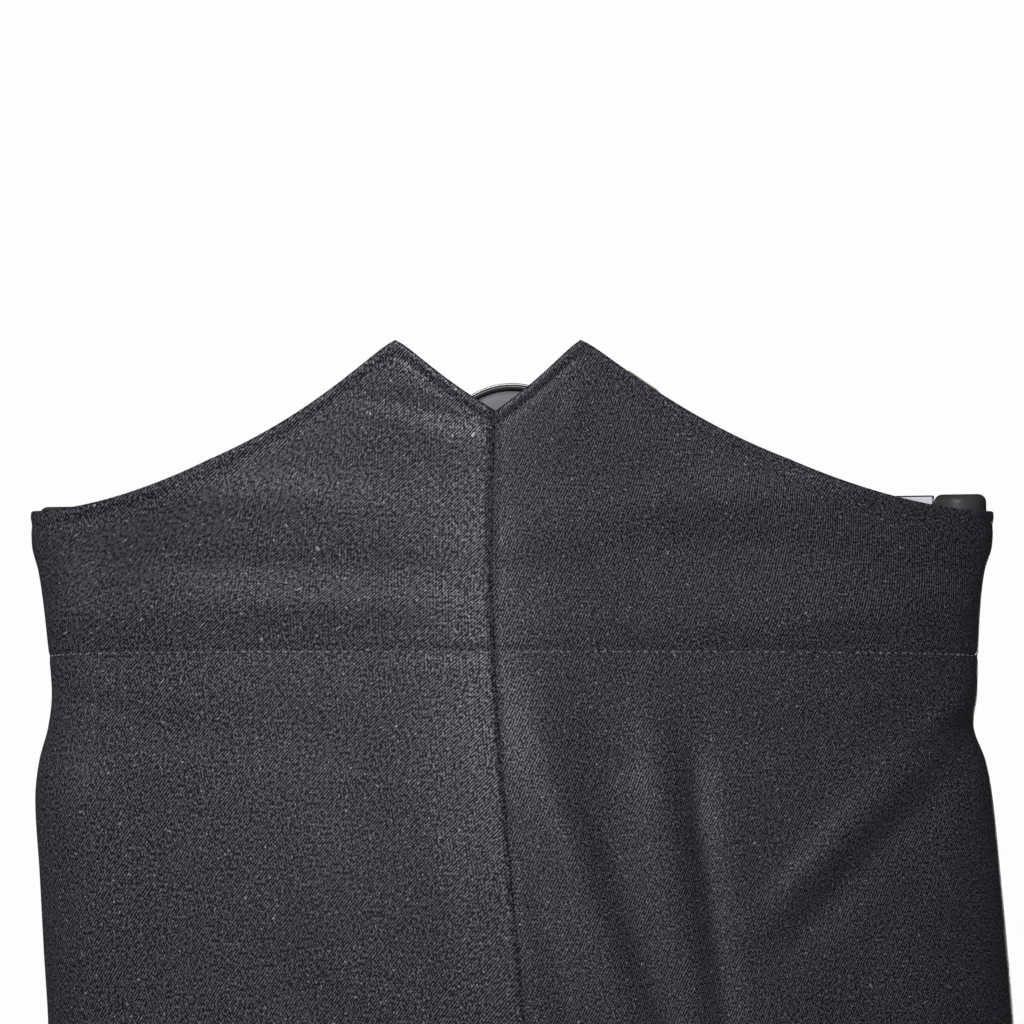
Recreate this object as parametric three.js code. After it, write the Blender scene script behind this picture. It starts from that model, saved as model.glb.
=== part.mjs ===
// High-back dress trousers hung open on a plain waist hanger, seen in the photo from behind.
// Millimetres, +Z up. -Y is the back of the garment, +Y the front, +X the wearer's right.
// The origin is the middle of the hanger hub's far face, where a stand or wall arm holds it.
import * as THREE from 'three';
import { mergeVertices } from 'three/addons/utils/BufferGeometryUtils.js';

// Driving dimensions of the cut.
const CLOTH = 1.6;               // wall of the heavy twill, turned and pressed
const LINING = 1.2;              // wall of facings and strips that lie inside
const SEAM_GAP = 0.3;            // between two panels at a seam
const LAYER_GAP = 0.5;           // between a panel and a strip that lies on it
const WAIST_SIDE_Z = -82;        // waistline stitching at the side seams
const WAIST_ARCH = 4;            // the stitching stands higher at the centre seam
const CORNER_Z = -21.5;          // top edge at the side seams
const FRONT_DIP = 5;             // the front top edge is lower at the fly
const PEAK_Z = 50.4;             // tips of the fishtail, before they are rounded
const NOTCH_Z = 19.5;            // foot of the V between the tips
const EDGE_CURVE = 1.75;         // power of the hollow curve from tip to side seam
const EDGE_SAG = 1.4;            // how far the cut hangs below that curve, beside the tip
const V_SAG = 1.7;               // and below the straight limbs of the V
const EDGE_SQUARE = 2.2;         // squareness of the section all along the top edge
const TIP_ROUNDING = 1.8;        // drop of each blunt tip below its sharp corner
const TIP_ROUNDING_REACH = 4;
const SEAM_RIDGE = 1.2;          // the seat seam stands out as a soft ridge
const SEAM_RIDGE_REACH = 20;
const CROWN = 12;                // the back bows out round that seam, with flatter cloth each side
const CROWN_REACH = 60;
const SEAT_Z = -232;             // the seat seam starts to turn forward
const CROTCH_Z = -350;
const HEM_Z = -1110;
const SIDE_SEAM_Y = -9;          // the side seams and the hanger's bar share this plane
const SIDES = [{ name: 'left', sign: -1, peakReach: 41 }, { name: 'right', sign: 1, peakReach: 34.5 }];
const BACK = { name: 'back', sign: -1 };
const FRONT = { name: 'front', sign: 1 };

// Half-outline of the garment at heights from the tips to the hems: the outer edge at the
// wearer's left and right, the middle seam, the fullness behind and before the side seams,
// and the squareness of the section (2 is an ellipse).
const OUTLINE_COLUMNS = ['z', 'left', 'right', 'seam', 'back', 'front', 'square'];
const OUTLINE = [
  [50, -201.7, 201.9, -6.5, 50, 50, 2.2],
  [15, -201.7, 201.9, -6.8, 53, 50, 2.2],
  [-22, -201.7, 201.9, -7.8, 56, 52, 2.2],
  [-36, -201.5, 201.5, -7.8, 58, 53, 2.2],
  [-46, -198.9, 198.5, -7.8, 59, 54, 2.2],
  [-60, -196.8, 196.8, -7.6, 61, 55, 2.1],
  [-80, -194.7, 195.8, -6.9, 64, 57, 2.0],
  [-98, -193.3, 195.4, -5.9, 67, 60, 2.0],
  [-112, -194.9, 194.0, -5.0, 70, 62, 2.0],
  [-126, -198.6, 199.0, -4.0, 73, 64, 2.0],
  [-142, -200.2, 202.0, -2.3, 76, 66, 2.0],
  [-172, -198.4, 205.1, 0.2, 81, 70, 2.0],
  [-205, -196.6, 208.2, 3.4, 85, 74, 2.0],
  [-240, -194.6, 211.0, 6.4, 88, 78, 2.0],
  [-290, -195.0, 213.0, 8.0, 93, 82, 2.0],
  [-350, -195.0, 211.0, 8.0, 96, 84, 2.0],
  [-430, -190.0, 206.0, 8.0, 89, 81, 2.0],
  [-560, -182.0, 198.0, 8.0, 80, 76, 2.0],
  [-720, -173.0, 189.0, 8.0, 70, 68, 2.0],
  [-900, -168.0, 184.0, 8.0, 64, 62, 2.0],
  [-1110, -166.0, 182.0, 8.0, 60, 58, 2.0],
];

// Distance of each inseam from the middle plane, and how far the pressed crease stands out.
const LEG_COLUMNS = ['z', 'inseam', 'crease'];
const LEG = [
  [-230, 0.15, 0],
  [-330, 0.4, 2.5],
  [-350, 1.6, 3],
  [-430, 7, 4],
  [-560, 12, 5],
  [-720, 17, 6],
  [-1110, 22, 6],
];

// Largest soft folds: a ridge (height above 0) or trough that runs from x0, z0 to x1, z1.
const FOLD_COLUMNS = ['face', 'x0', 'z0', 'x1', 'z1', 'width', 'height'];
const FOLDS = [
  [-1, 8, -98, 60, -262, 12, 4.0],       // drag ridge down the right seat, nearest the seam
  [-1, 6, -150, 30, -262, 8, -1.5],      // shallow hollow inside it
  [-1, 28, -130, 76, -262, 8, -2.8],     // hollow between it and the next ridge
  [-1, 58, -104, 80, -262, 12, 3.0],     // second drag ridge
  [-1, 73, -120, 90, -262, 7, -3.5],     // sharp hollow outside both
  [-1, 190, -100, 106, -186, 9, 3.0],    // drag ridge from the pinch at the right side seam
  [-1, 192, -119, 112, -198, 10, -3.4],  // hollow under it
  [-1, -139, -120, -150, -250, 24, -3.5],  // broad hollow in the left seat
  [-1, -60, -126, -66, -168, 14, -1.5],
  [-1, -190, -104, -120, -112, 10, -1.8],
  [1, -60, -70, -96, -230, 14, 3.0],     // hidden front: soft hang folds from the waist
  [1, 66, -74, 104, -230, 14, 3.0],
  [1, -28, -150, -70, -300, 11, -2.5],
  [1, 34, -150, 78, -300, 11, -2.5],
  [-1, -60, -400, -86, -470, 20, -3.0],  // slack under the seat, left and right
  [-1, 74, -396, 102, -470, 20, -3.0],
];
const FOLD_END = 26;             // length over which a fold fades out at each end
const FOLD_FREE = 0.35;          // share of the depth at which cloth is free of the side seam's pull
const CREASE_REACH = 0.16;       // share of a panel's width that the pressed crease lifts

// Grid of each panel: columns run from the centre seam or inseam to the side seam.
const INNER_COLUMNS = 2;         // from the seam to the fishtail's tip
const OUTER_COLUMNS = 12;        // from the tip to the side seam
const ABOVE_WAIST_ROWS = 7;
const HIP_ROWS = [-92, -102, -112, -122, -134, -150, -170, -192, -215, -235];
const SEAT_ROWS = 8;
const LEG_ROWS = [-364, -390, -430, -490, -560, -640, -720, -800, -900, -1010, HEM_Z];

const asRecords = (columns, rows) =>
  rows.map((row) => Object.fromEntries(columns.map((name, i) => [name, row[i]])));
const outline = asRecords(OUTLINE_COLUMNS, OUTLINE);
const leg = asRecords(LEG_COLUMNS, LEG);
const folds = asRecords(FOLD_COLUMNS, FOLDS);

// Value of one column of a table at height z, on a smooth curve through its rows.
function at(table, column, z) {
  const last = table.length - 1;
  if (z >= table[0].z) return table[0][column];
  if (z <= table[last].z) return table[last][column];
  const i = table.findIndex((row, k) => k < last && z <= row.z && z > table[k + 1].z);
  const slope = (k) => {
    const a = table[Math.max(k - 1, 0)];
    const b = table[Math.min(k + 1, last)];
    return (b[column] - a[column]) / (b.z - a.z);
  };
  const [p, q] = [table[i], table[i + 1]];
  const span = q.z - p.z;
  const t = (z - p.z) / span;
  const near = 2 * t ** 3 - 3 * t ** 2 + 1;
  const lift = (t ** 3 - 2 * t ** 2 + t) * slope(i) + (t ** 3 - t ** 2) * slope(i + 1);
  return near * p[column] + (1 - near) * q[column] + lift * span;
}

const smooth = (t) => {
  const c = THREE.MathUtils.clamp(t, 0, 1);
  return c * c * (3 - 2 * c);
};

// Push of all folds at a place on one face, outward positive.
function foldPush(face, x, z) {
  let push = 0;
  for (const f of folds) {
    if (f.face !== face.sign) continue;
    const run = new THREE.Vector2(f.x1 - f.x0, f.z1 - f.z0);
    const length = run.length();
    run.normalize();
    const along = (x - f.x0) * run.x + (z - f.z0) * run.y;
    const across = (x - f.x0) * run.y - (z - f.z0) * run.x;
    const fadeIn = smooth((along + FOLD_END) / (2 * FOLD_END));
    const fade = fadeIn * smooth((length + FOLD_END - along) / (2 * FOLD_END));
    push += f.height * fade * Math.exp(-((across / f.width) ** 2));
  }
  return push;
}

// Width of half the garment at height z, from the middle seam to the side seam.
const halfWidth = (side, z) =>
  side.sign * (at(outline, side.sign > 0 ? 'right' : 'left', z) - at(outline, 'seam', z)) - CLOTH / 2;

// Share of that width that column u reaches along the top edge, and the column that reaches a share.
const edgeReach = (u) => Math.sin(u * Math.PI / 2) ** (2 / EDGE_SQUARE);
const tipColumn = (side) =>
  Math.asin((side.peakReach / halfWidth(side, 0)) ** (EDGE_SQUARE / 2)) / (Math.PI / 2);

// Height of the top edge at column u: V notch, tip and hollow curve behind; a shallow dip in front.
function topEdge(side, face, u) {
  if (face === FRONT) return CORNER_Z - FRONT_DIP * (1 - smooth(u / 0.8));
  const tip = side.peakReach / halfWidth(side, 0);
  const reach = edgeReach(u);
  const blunt = TIP_ROUNDING * Math.exp(-Math.abs(reach - tip) * halfWidth(side, 0) / TIP_ROUNDING_REACH);
  if (reach <= tip) {
    const vSag = V_SAG * Math.sin(Math.PI * reach / tip);
    return NOTCH_Z + (PEAK_Z - NOTCH_Z) * reach / tip - vSag - blunt;
  }
  const along = (reach - tip) / (1 - tip);
  const sag = EDGE_SAG * Math.sin(Math.PI * Math.min(2 * along, 1));
  return CORNER_Z + (PEAK_Z - CORNER_Z) * Math.max(1 - along, 0) ** EDGE_CURVE - sag - blunt;
}

const waistLine = (u) => WAIST_SIDE_Z + WAIST_ARCH * (1 - u * u);

// A row is either a share of the way from the waistline up to the top edge, or a fixed height.
const rowHeight = (side, face, row, u) =>
  ('share' in row ? waistLine(u) + row.share * (topEdge(side, face, u) - waistLine(u)) : row.z);

// One point of the cloth's middle surface.
function clothPoint(side, face, row, u) {
  const z = rowHeight(side, face, row, u);
  const power = 2 / at(outline, 'square', z);
  const down = THREE.MathUtils.clamp((SEAT_Z - z) / (SEAT_Z - CROTCH_Z), 0, 1);
  const turned = 1 - (1 - down ** 2) ** 1.5;
  const start = -(Math.PI / 2 + Math.asin(turned));
  const angle = start * (1 - u);
  const inner = at(leg, 'inseam', z);
  const reach = halfWidth(side, z);
  const wrap = turned ** power;
  const radius = (reach - inner) / (1 + wrap);
  const centre = inner + radius * wrap;
  const across = Math.sign(Math.cos(angle)) * Math.abs(Math.cos(angle)) ** power;
  const deep = Math.abs(Math.sin(angle)) ** power;
  const x = at(outline, 'seam', z) + side.sign * (centre + radius * across);
  const crease = at(leg, 'crease', z) * Math.max(0, 1 - Math.abs(u - 0.5) / CREASE_REACH) ** 2;
  const fromSeam = Math.abs(x - at(outline, 'seam', z));
  const bow = CROWN * Math.exp(-((fromSeam / CROWN_REACH) ** 2))
    + SEAM_RIDGE * Math.exp(-fromSeam / SEAM_RIDGE_REACH);
  const ridge = face === BACK ? bow * (1 - down) : 0;
  const push = crease + ridge + foldPush(face, x, z) * smooth(deep / FOLD_FREE);
  const depth = at(outline, face.name, z) * deep + push + SEAM_GAP / 2;
  return new THREE.Vector3(x, SIDE_SEAM_Y + face.sign * depth, z);
}

// Unit normal that points out of the garment. At a seam it stays in the seam's own plane, so
// that the edges of two panels stay parallel.
function clothNormal(side, face, row, u) {
  const step = 0.004;
  const drop = 1.5;
  const aboveWaist = PEAK_Z - WAIST_SIDE_Z;
  const below = (r, d) => ('share' in r ? { share: r.share - d / aboveWaist } : { z: r.z - d });
  const spot = (r, v) => clothPoint(side, face, r, v);
  const across = spot(row, Math.min(u + step, 1)).sub(spot(row, Math.max(u - step, 0)));
  const down = spot(below(row, drop), u).sub(spot(below(row, -drop), u));
  const normal = across.cross(down).multiplyScalar(side.sign * face.sign).normalize();
  const z = rowHeight(side, face, row, u);
  if (u === 0 && z > CROTCH_Z + 0.5) normal.x = 0;
  else if (u === 0 || u === 1) normal.y = 0;
  if (u === 0 && z <= CROTCH_Z + 0.5) normal.set(-side.sign, 0, 0);
  return normal.normalize();
}

// Closed wall between two layers of a grid: layer(i, j, depth) gives its points.
function wall(rows, columns, layer) {
  const points = [];
  const index = (face, i, j) => (face * rows + i) * columns + j;
  for (let face = 0; face < 2; face += 1) {
    for (let i = 0; i < rows; i += 1) {
      for (let j = 0; j < columns; j += 1) points.push(...layer(i, j, face).toArray());
    }
  }
  const triangles = [];
  const quad = (a, b, c, d) => triangles.push(a, b, c, a, c, d);
  for (let i = 0; i < rows - 1; i += 1) {
    for (let j = 0; j < columns - 1; j += 1) {
      quad(index(0, i, j), index(0, i + 1, j), index(0, i + 1, j + 1), index(0, i, j + 1));
      quad(index(1, i, j), index(1, i, j + 1), index(1, i + 1, j + 1), index(1, i + 1, j));
    }
  }
  const rim = [];
  for (let j = 0; j < columns - 1; j += 1) rim.push([0, j]);
  for (let i = 0; i < rows - 1; i += 1) rim.push([i, columns - 1]);
  for (let j = columns - 1; j > 0; j -= 1) rim.push([rows - 1, j]);
  for (let i = rows - 1; i > 0; i -= 1) rim.push([i, 0]);
  rim.forEach(([i, j], k) => {
    const [m, n] = rim[(k + 1) % rim.length];
    quad(index(0, i, j), index(0, m, n), index(1, m, n), index(1, i, j));
  });
  const geometry = new THREE.BufferGeometry();
  geometry.setAttribute('position', new THREE.Float32BufferAttribute(points, 3));
  geometry.setIndex(triangles);
  return facingOut(geometry);
}

// Turns every triangle over if the closed mesh encloses a negative volume.
function facingOut(geometry) {
  const p = geometry.getAttribute('position');
  const corners = geometry.getIndex().array;
  const [a, b, c] = [new THREE.Vector3(), new THREE.Vector3(), new THREE.Vector3()];
  let volume = 0;
  for (let i = 0; i < corners.length; i += 3) {
    a.fromBufferAttribute(p, corners[i]);
    b.fromBufferAttribute(p, corners[i + 1]);
    c.fromBufferAttribute(p, corners[i + 2]);
    volume += a.dot(b.cross(c));
  }
  if (volume < 0) geometry.setIndex(Array.from(corners).reverse());
  return geometry;
}

// Welded copy of a library geometry, with its positions alone.
function welded(geometry) {
  const plain = geometry.clone();
  plain.deleteAttribute('normal');
  plain.deleteAttribute('uv');
  return facingOut(mergeVertices(plain, 1e-4));
}

const finish = (color, roughness, metalness) =>
  new THREE.MeshStandardMaterial({ color, roughness, metalness });
const twill = finish(0x3b3b41, 0.92, 0);
const drill = finish(0xb9a893, 0.9, 0);
const horn = finish(0x1d1b1a, 0.4, 0);
const rubber = finish(0x202021, 0.55, 0);
const chrome = finish(0xd8dadd, 0.15, 1);
const greyCap = finish(0x6e6f70, 0.6, 0);

function piece(name, geometry, material) {
  const mesh = new THREE.Mesh(geometry, material);
  mesh.name = name;
  return mesh;
}

// Leg panel cut in one from waist to hem, one for each quarter of the garment.
const evenly = (count, from, to) =>
  Array.from({ length: count }, (_, i) => from + (to - from) * i / (count - 1));

function panelColumns(side) {
  const tip = tipColumn(side);
  const inner = evenly(INNER_COLUMNS + 1, 0, tip);
  const middle = evenly(OUTER_COLUMNS / 2 + 1, tip, 0.5);
  const outer = evenly(OUTER_COLUMNS / 2 + 1, 0.5, 1);
  return [...inner, ...middle.slice(1), ...outer.slice(1)];
}

function panelRows() {
  const above = evenly(ABOVE_WAIST_ROWS, 1, 0).map((share) => ({ share }));
  const seat = evenly(SEAT_ROWS, 0, Math.PI / 2)
    .map((t) => ({ z: SEAT_Z - (SEAT_Z - CROTCH_Z) * Math.sin(t) }));
  return [...above, ...HIP_ROWS.map((z) => ({ z })), ...seat, ...LEG_ROWS.map((z) => ({ z }))];
}

function panel(side, face) {
  const columns = panelColumns(side);
  const rows = panelRows();
  const offset = [CLOTH / 2, -CLOTH / 2];
  const layer = (i, j, k) => clothPoint(side, face, rows[i], columns[j])
    .addScaledVector(clothNormal(side, face, rows[i], columns[j]), offset[k]);
  return piece(`${face.name}_panel_${side.name}`, wall(rows.length, columns.length, layer), twill);
}

// A strip that lies inside the panels: its stations are [side, face, column] from edge to edge.
function insideStrip(name, rows, stations, material, thickness = LINING) {
  const near = -(CLOTH / 2 + LAYER_GAP);
  const offset = [near, near - thickness];
  const layer = (i, j, k) => {
    const [side, face, u] = stations[j];
    const out = clothNormal(side, face, rows[i], u);
    return clothPoint(side, face, rows[i], u).addScaledVector(out, offset[k]);
  };
  return piece(name, wall(rows.length, stations.length, layer), material);
}

// Facing inside each half of the fishtail, from the top edge down to the waist stitching. It
// stops short of the side seam, where the end pad presses on the cloth.
const FACING_REACH = 0.86;

function backFacing(side) {
  const rows = panelRows().slice(0, ABOVE_WAIST_ROWS);
  const columns = panelColumns(side).filter((u) => u < FACING_REACH);
  return insideStrip(`back_facing_${side.name}`, rows, columns.map((u) => [side, BACK, u]), drill);
}

// Fly underlap behind the front opening: narrow under the left front, wide under the right.
const FLY_FOOT_Z = -216;

function flyUnderlap() {
  const [left, right] = SIDES;
  const stations = [
    ...panelColumns(left).slice(0, INNER_COLUMNS).reverse().map((u) => [left, FRONT, u]),
    ...panelColumns(right).slice(0, INNER_COLUMNS + 1).map((u) => [right, FRONT, u]),
  ];
  const rows = panelRows().slice(1).filter((row) => 'share' in row || row.z > FLY_FOOT_Z);
  return insideStrip('fly_underlap', rows, stations, twill);
}

// Button that closes the waist over the fly: a turned disc with a raised rim.
const BUTTON_RADIUS = 8.5;
const BUTTON_THICKNESS = 3;
const BUTTON_COLUMN = 0.075;
const BUTTON_ROW = { share: 0.72 };

function waistButton() {
  const profile = [
    [0, 0], [BUTTON_RADIUS - 1, 0], [BUTTON_RADIUS, 1], [BUTTON_RADIUS, 2.2],
    [BUTTON_RADIUS - 1.2, BUTTON_THICKNESS], [BUTTON_RADIUS - 2.4, BUTTON_THICKNESS],
    [BUTTON_RADIUS - 3.2, 2.2], [0, 2.2],
  ].map(([r, h]) => new THREE.Vector2(r, h));
  const mesh = piece('waist_button', welded(new THREE.LatheGeometry(profile, 24)), horn);
  const [left] = SIDES;
  const normal = clothNormal(left, FRONT, BUTTON_ROW, BUTTON_COLUMN);
  const seat = CLOTH / 2 + SEAM_GAP + 0.2;
  mesh.position.copy(clothPoint(left, FRONT, BUTTON_ROW, BUTTON_COLUMN).addScaledVector(normal, seat));
  mesh.quaternion.setFromUnitVectors(new THREE.Vector3(0, 1, 0), normal);
  return mesh;
}

// Plain waist hanger: a flat bar between two end pads, clamped by a round hub.
const HANGER_TILT = THREE.MathUtils.degToRad(0.8);   // its left end hangs a little lower
const HUB_RADIUS = 32.4;
const RIM_WALL = 1.1;
const RING_WALL = 1.6;
const CAP_THICKNESS = 11;
const BAR = { height: 14, thickness: 5, z: -23.6 };
const PAD = { width: 21.4, depth: 27, height: 22, corner: 10, bevel: 3.5, top: -16.6 };
const PAD_CLEARANCE = 1.7;       // of the cloth at its widest beside the pad
const BOSS_RADIUS = 30;
const TURN_SEGMENTS = 48;

// Ring or disc turned about the Y axis, from y0 (near the camera side) to y1.
function turnedAboutY(name, inner, outer, y0, y1, material) {
  const profile = [[inner, y0], [outer, y0], [outer, y1], [inner, y1]];
  if (inner > 0) profile.push(profile[0]);
  const points = profile.map(([r, h]) => new THREE.Vector2(r, h));
  return piece(name, welded(new THREE.LatheGeometry(points, TURN_SEGMENTS)), material);
}

function hubParts() {
  const barFace = SIDE_SEAM_Y - BAR.thickness / 2 - SEAM_GAP;
  const front = barFace - CAP_THICKNESS;
  const ringOuter = HUB_RADIUS - RIM_WALL - SEAM_GAP;
  const capOuter = ringOuter - RING_WALL - SEAM_GAP;
  const bossFace = SIDE_SEAM_Y + BAR.thickness / 2 + SEAM_GAP;
  return [
    turnedAboutY('hub_rim', HUB_RADIUS - RIM_WALL, HUB_RADIUS, front, barFace, chrome),
    turnedAboutY('hub_ring', ringOuter - RING_WALL, ringOuter, front + 0.8, barFace, rubber),
    turnedAboutY('hub_cap', 0, capOuter, front + 0.4, barFace, greyCap),
    turnedAboutY('hub_boss', 0, BOSS_RADIUS, bossFace, 0, greyCap),
  ];
}

function roundedRectangle(width, height, radius) {
  const [w, h] = [width / 2, height / 2];
  const shape = new THREE.Shape();
  shape.moveTo(-w + radius, -h);
  shape.lineTo(w - radius, -h);
  shape.absarc(w - radius, -h + radius, radius, -Math.PI / 2, 0);
  shape.lineTo(w, h - radius);
  shape.absarc(w - radius, h - radius, radius, 0, Math.PI / 2);
  shape.lineTo(-w + radius, h);
  shape.absarc(-w + radius, h - radius, radius, Math.PI / 2, Math.PI);
  shape.lineTo(-w, -h + radius);
  shape.absarc(-w + radius, -h + radius, radius, Math.PI, Math.PI * 1.5);
  return shape;
}

// Each end pad presses the cloth out at the side seam; the bar runs from pad to pad.
const padOuterX = (side) => side.sign * (halfWidth(side, PAD.top) - CLOTH / 2 - PAD_CLEARANCE)
  + at(outline, 'seam', PAD.top);
const padInnerX = (side) => padOuterX(side) - side.sign * PAD.width;

function hangerBar() {
  const [from, to] = SIDES.map((side) => padInnerX(side) - side.sign * SEAM_GAP);
  const strip = new THREE.BoxGeometry(to - from, BAR.thickness, BAR.height);
  const bar = piece('hanger_bar', welded(strip), chrome);
  bar.position.set((from + to) / 2, SIDE_SEAM_Y, BAR.z);
  return bar;
}

function endPad(side) {
  const { width, depth, height, corner, bevel } = PAD;
  const shape = roundedRectangle(width - 2 * bevel, depth - 2 * bevel, corner - bevel);
  const solid = new THREE.ExtrudeGeometry(shape, {
    depth: height - 2 * bevel, bevelThickness: bevel, bevelSize: bevel, bevelSegments: 3, curveSegments: 4,
  });
  const pad = piece(`end_pad_${side.name}`, welded(solid), rubber);
  pad.position.set((padOuterX(side) + padInnerX(side)) / 2, SIDE_SEAM_Y, PAD.top - height + bevel);
  return pad;
}

function hanger() {
  const group = new THREE.Group();
  group.add(...hubParts(), hangerBar(), ...SIDES.map(endPad));
  group.rotation.y = -HANGER_TILT;
  return group;
}

const trousers = new THREE.Group();
for (const side of SIDES) {
  trousers.add(panel(side, BACK), panel(side, FRONT), backFacing(side));
}
trousers.add(flyUnderlap(), waistButton(), hanger());

export default trousers;
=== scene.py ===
import math

import bpy
import numpy as np
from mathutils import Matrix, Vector


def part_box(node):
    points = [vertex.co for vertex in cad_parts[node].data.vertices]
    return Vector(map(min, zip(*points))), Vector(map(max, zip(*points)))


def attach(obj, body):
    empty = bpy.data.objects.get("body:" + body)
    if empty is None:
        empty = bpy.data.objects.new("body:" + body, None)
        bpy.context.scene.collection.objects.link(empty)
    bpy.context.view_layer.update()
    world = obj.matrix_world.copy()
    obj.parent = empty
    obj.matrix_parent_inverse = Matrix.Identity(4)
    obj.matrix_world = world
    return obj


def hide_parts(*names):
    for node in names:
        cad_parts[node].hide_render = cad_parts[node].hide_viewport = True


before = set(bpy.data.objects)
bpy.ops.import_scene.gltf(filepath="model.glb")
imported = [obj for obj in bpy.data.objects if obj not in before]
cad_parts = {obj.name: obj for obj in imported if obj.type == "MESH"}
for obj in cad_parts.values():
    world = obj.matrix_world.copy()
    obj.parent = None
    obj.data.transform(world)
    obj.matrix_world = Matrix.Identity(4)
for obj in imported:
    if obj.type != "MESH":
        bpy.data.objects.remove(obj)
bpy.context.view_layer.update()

# The trousers' cut: four panels, each cut in one from the waist's top edge to the hem, with a
# fishtail back that stands high in two points. They hang hollow, spread by the hanger inside the
# waist. The sizes are those of the solids, in metres; left and right are the wearer's.
MM = 0.001
CLOTH = 1.6 * MM
SEAM_GAP = 0.3 * MM
WAIST_SIDE_Z = -0.082
WAIST_ARCH = 0.004
CORNER_Z = -0.0215
FRONT_DIP = 0.005
FRONT_DIP_REACH = 0.8        # share of the front's width
PEAK_Z = 0.0504
NOTCH_Z = 0.0195
EDGE_CURVE = 1.75
EDGE_SAG = 1.4 * MM
V_SAG = 1.7 * MM
EDGE_SQUARE = 2.2
TIP_ROUNDING = 1.8 * MM
TIP_ROUNDING_REACH = 4 * MM
SEAT_Z = -0.232
CROTCH_Z = -0.350
HEM_Z = -1.110
SIDE_SEAM_Y = -0.009
LEFT = {"name": "left", "sign": -1, "peak_reach": 0.041}
RIGHT = {"name": "right", "sign": 1, "peak_reach": 0.0345}
BACK = {"name": "back", "sign": -1}
FRONT = {"name": "front", "sign": 1}

OUTLINE_COLUMNS = ("z", "left", "right", "seam", "back", "front", "square")
OUTLINE = np.array([
    (50, -201.7, 201.9, -6.5, 50, 50, 2.2),
    (15, -201.7, 201.9, -6.8, 53, 50, 2.2),
    (-22, -201.7, 201.9, -7.8, 56, 52, 2.2),
    (-36, -201.5, 201.5, -7.8, 58, 53, 2.2),
    (-46, -198.9, 198.5, -7.8, 59, 54, 2.2),
    (-60, -196.8, 196.8, -7.6, 61, 55, 2.1),
    (-80, -194.7, 195.8, -6.9, 64, 57, 2.0),
    (-98, -193.3, 195.4, -5.9, 67, 60, 2.0),
    (-112, -194.9, 194.0, -5.0, 70, 62, 2.0),
    (-126, -198.6, 199.0, -4.0, 73, 64, 2.0),
    (-142, -200.2, 202.0, -2.3, 76, 66, 2.0),
    (-172, -198.4, 205.1, 0.2, 81, 70, 2.0),
    (-205, -196.6, 208.2, 3.4, 85, 74, 2.0),
    (-240, -194.6, 211.0, 6.4, 88, 78, 2.0),
    (-290, -195.0, 213.0, 8.0, 93, 82, 2.0),
    (-350, -195.0, 211.0, 8.0, 96, 84, 2.0),
    (-430, -190.0, 206.0, 8.0, 89, 81, 2.0),
    (-560, -182.0, 198.0, 8.0, 80, 76, 2.0),
    (-720, -173.0, 189.0, 8.0, 70, 68, 2.0),
    (-900, -168.0, 184.0, 8.0, 64, 62, 2.0),
    (-1110, -166.0, 182.0, 8.0, 60, 58, 2.0),
])
LEG_COLUMNS = ("z", "inseam", "crease")
LEG = np.array([
    (-230, 0.15, 0),
    (-330, 0.4, 2.5),
    (-350, 1.6, 3),
    (-430, 7, 4),
    (-560, 12, 5),
    (-720, 17, 6),
    (-1110, 22, 6),
])


def at(table, columns, name, z):
    """One column of a table in millimetres at heights z, on a smooth curve through its rows."""
    knots, values = table[::-1, 0], table[::-1, columns.index(name)]
    slopes = np.empty_like(values)
    for i in range(len(knots)):
        a, b = max(i - 1, 0), min(i + 1, len(knots) - 1)
        slopes[i] = (values[b] - values[a]) / (knots[b] - knots[a])
    height = np.clip(np.asarray(z) / MM, knots[0], knots[-1])
    i = np.clip(np.searchsorted(knots, height) - 1, 0, len(knots) - 2)
    span = knots[i + 1] - knots[i]
    t = (height - knots[i]) / span
    return MM * (
        (2 * t**3 - 3 * t**2 + 1) * values[i] + (t**3 - 2 * t**2 + t) * span * slopes[i]
        + (3 * t**2 - 2 * t**3) * values[i + 1] + (t**3 - t**2) * span * slopes[i + 1]
    )


def outline(name, z):
    return at(OUTLINE, OUTLINE_COLUMNS, name, z)


def smooth(t):
    c = np.clip(t, 0, 1)
    return c * c * (3 - 2 * c)


def bell(distance, width):
    return np.exp(-((distance / width) ** 2))


def half_width(side, z):
    return side["sign"] * (outline(side["name"], z) - outline("seam", z)) - CLOTH / 2


def edge_reach(u):
    return np.sin(u * math.pi / 2) ** (2 / EDGE_SQUARE)


def tip_share(side):
    return side["peak_reach"] / half_width(side, 0.0)


def tip_column(side):
    return math.asin(tip_share(side) ** (EDGE_SQUARE / 2)) / (math.pi / 2)


def top_edge(side, face, u):
    """Height of the top edge: V notch, tip and hollow slope behind, a shallow dip in front."""
    if face is FRONT:
        return CORNER_Z - FRONT_DIP * (1 - smooth(u / FRONT_DIP_REACH))
    tip, reach = tip_share(side), edge_reach(u)
    v_limb = NOTCH_Z + (PEAK_Z - NOTCH_Z) * reach / tip - V_SAG * np.sin(math.pi * reach / tip)
    along = np.clip((reach - tip) / (1 - tip), 0, 1)
    slope = CORNER_Z + (PEAK_Z - CORNER_Z) * (1 - along) ** EDGE_CURVE
    slope = slope - EDGE_SAG * np.sin(math.pi * np.clip(2 * along, 0, 1))
    blunt = TIP_ROUNDING * np.exp(-np.abs(reach - tip) * half_width(side, 0.0) / TIP_ROUNDING_REACH)
    return np.where(reach <= tip, v_limb, np.minimum(slope, PEAK_Z)) - blunt


def waist_line(u):
    return WAIST_SIDE_Z + WAIST_ARCH * (1 - u * u)


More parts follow.
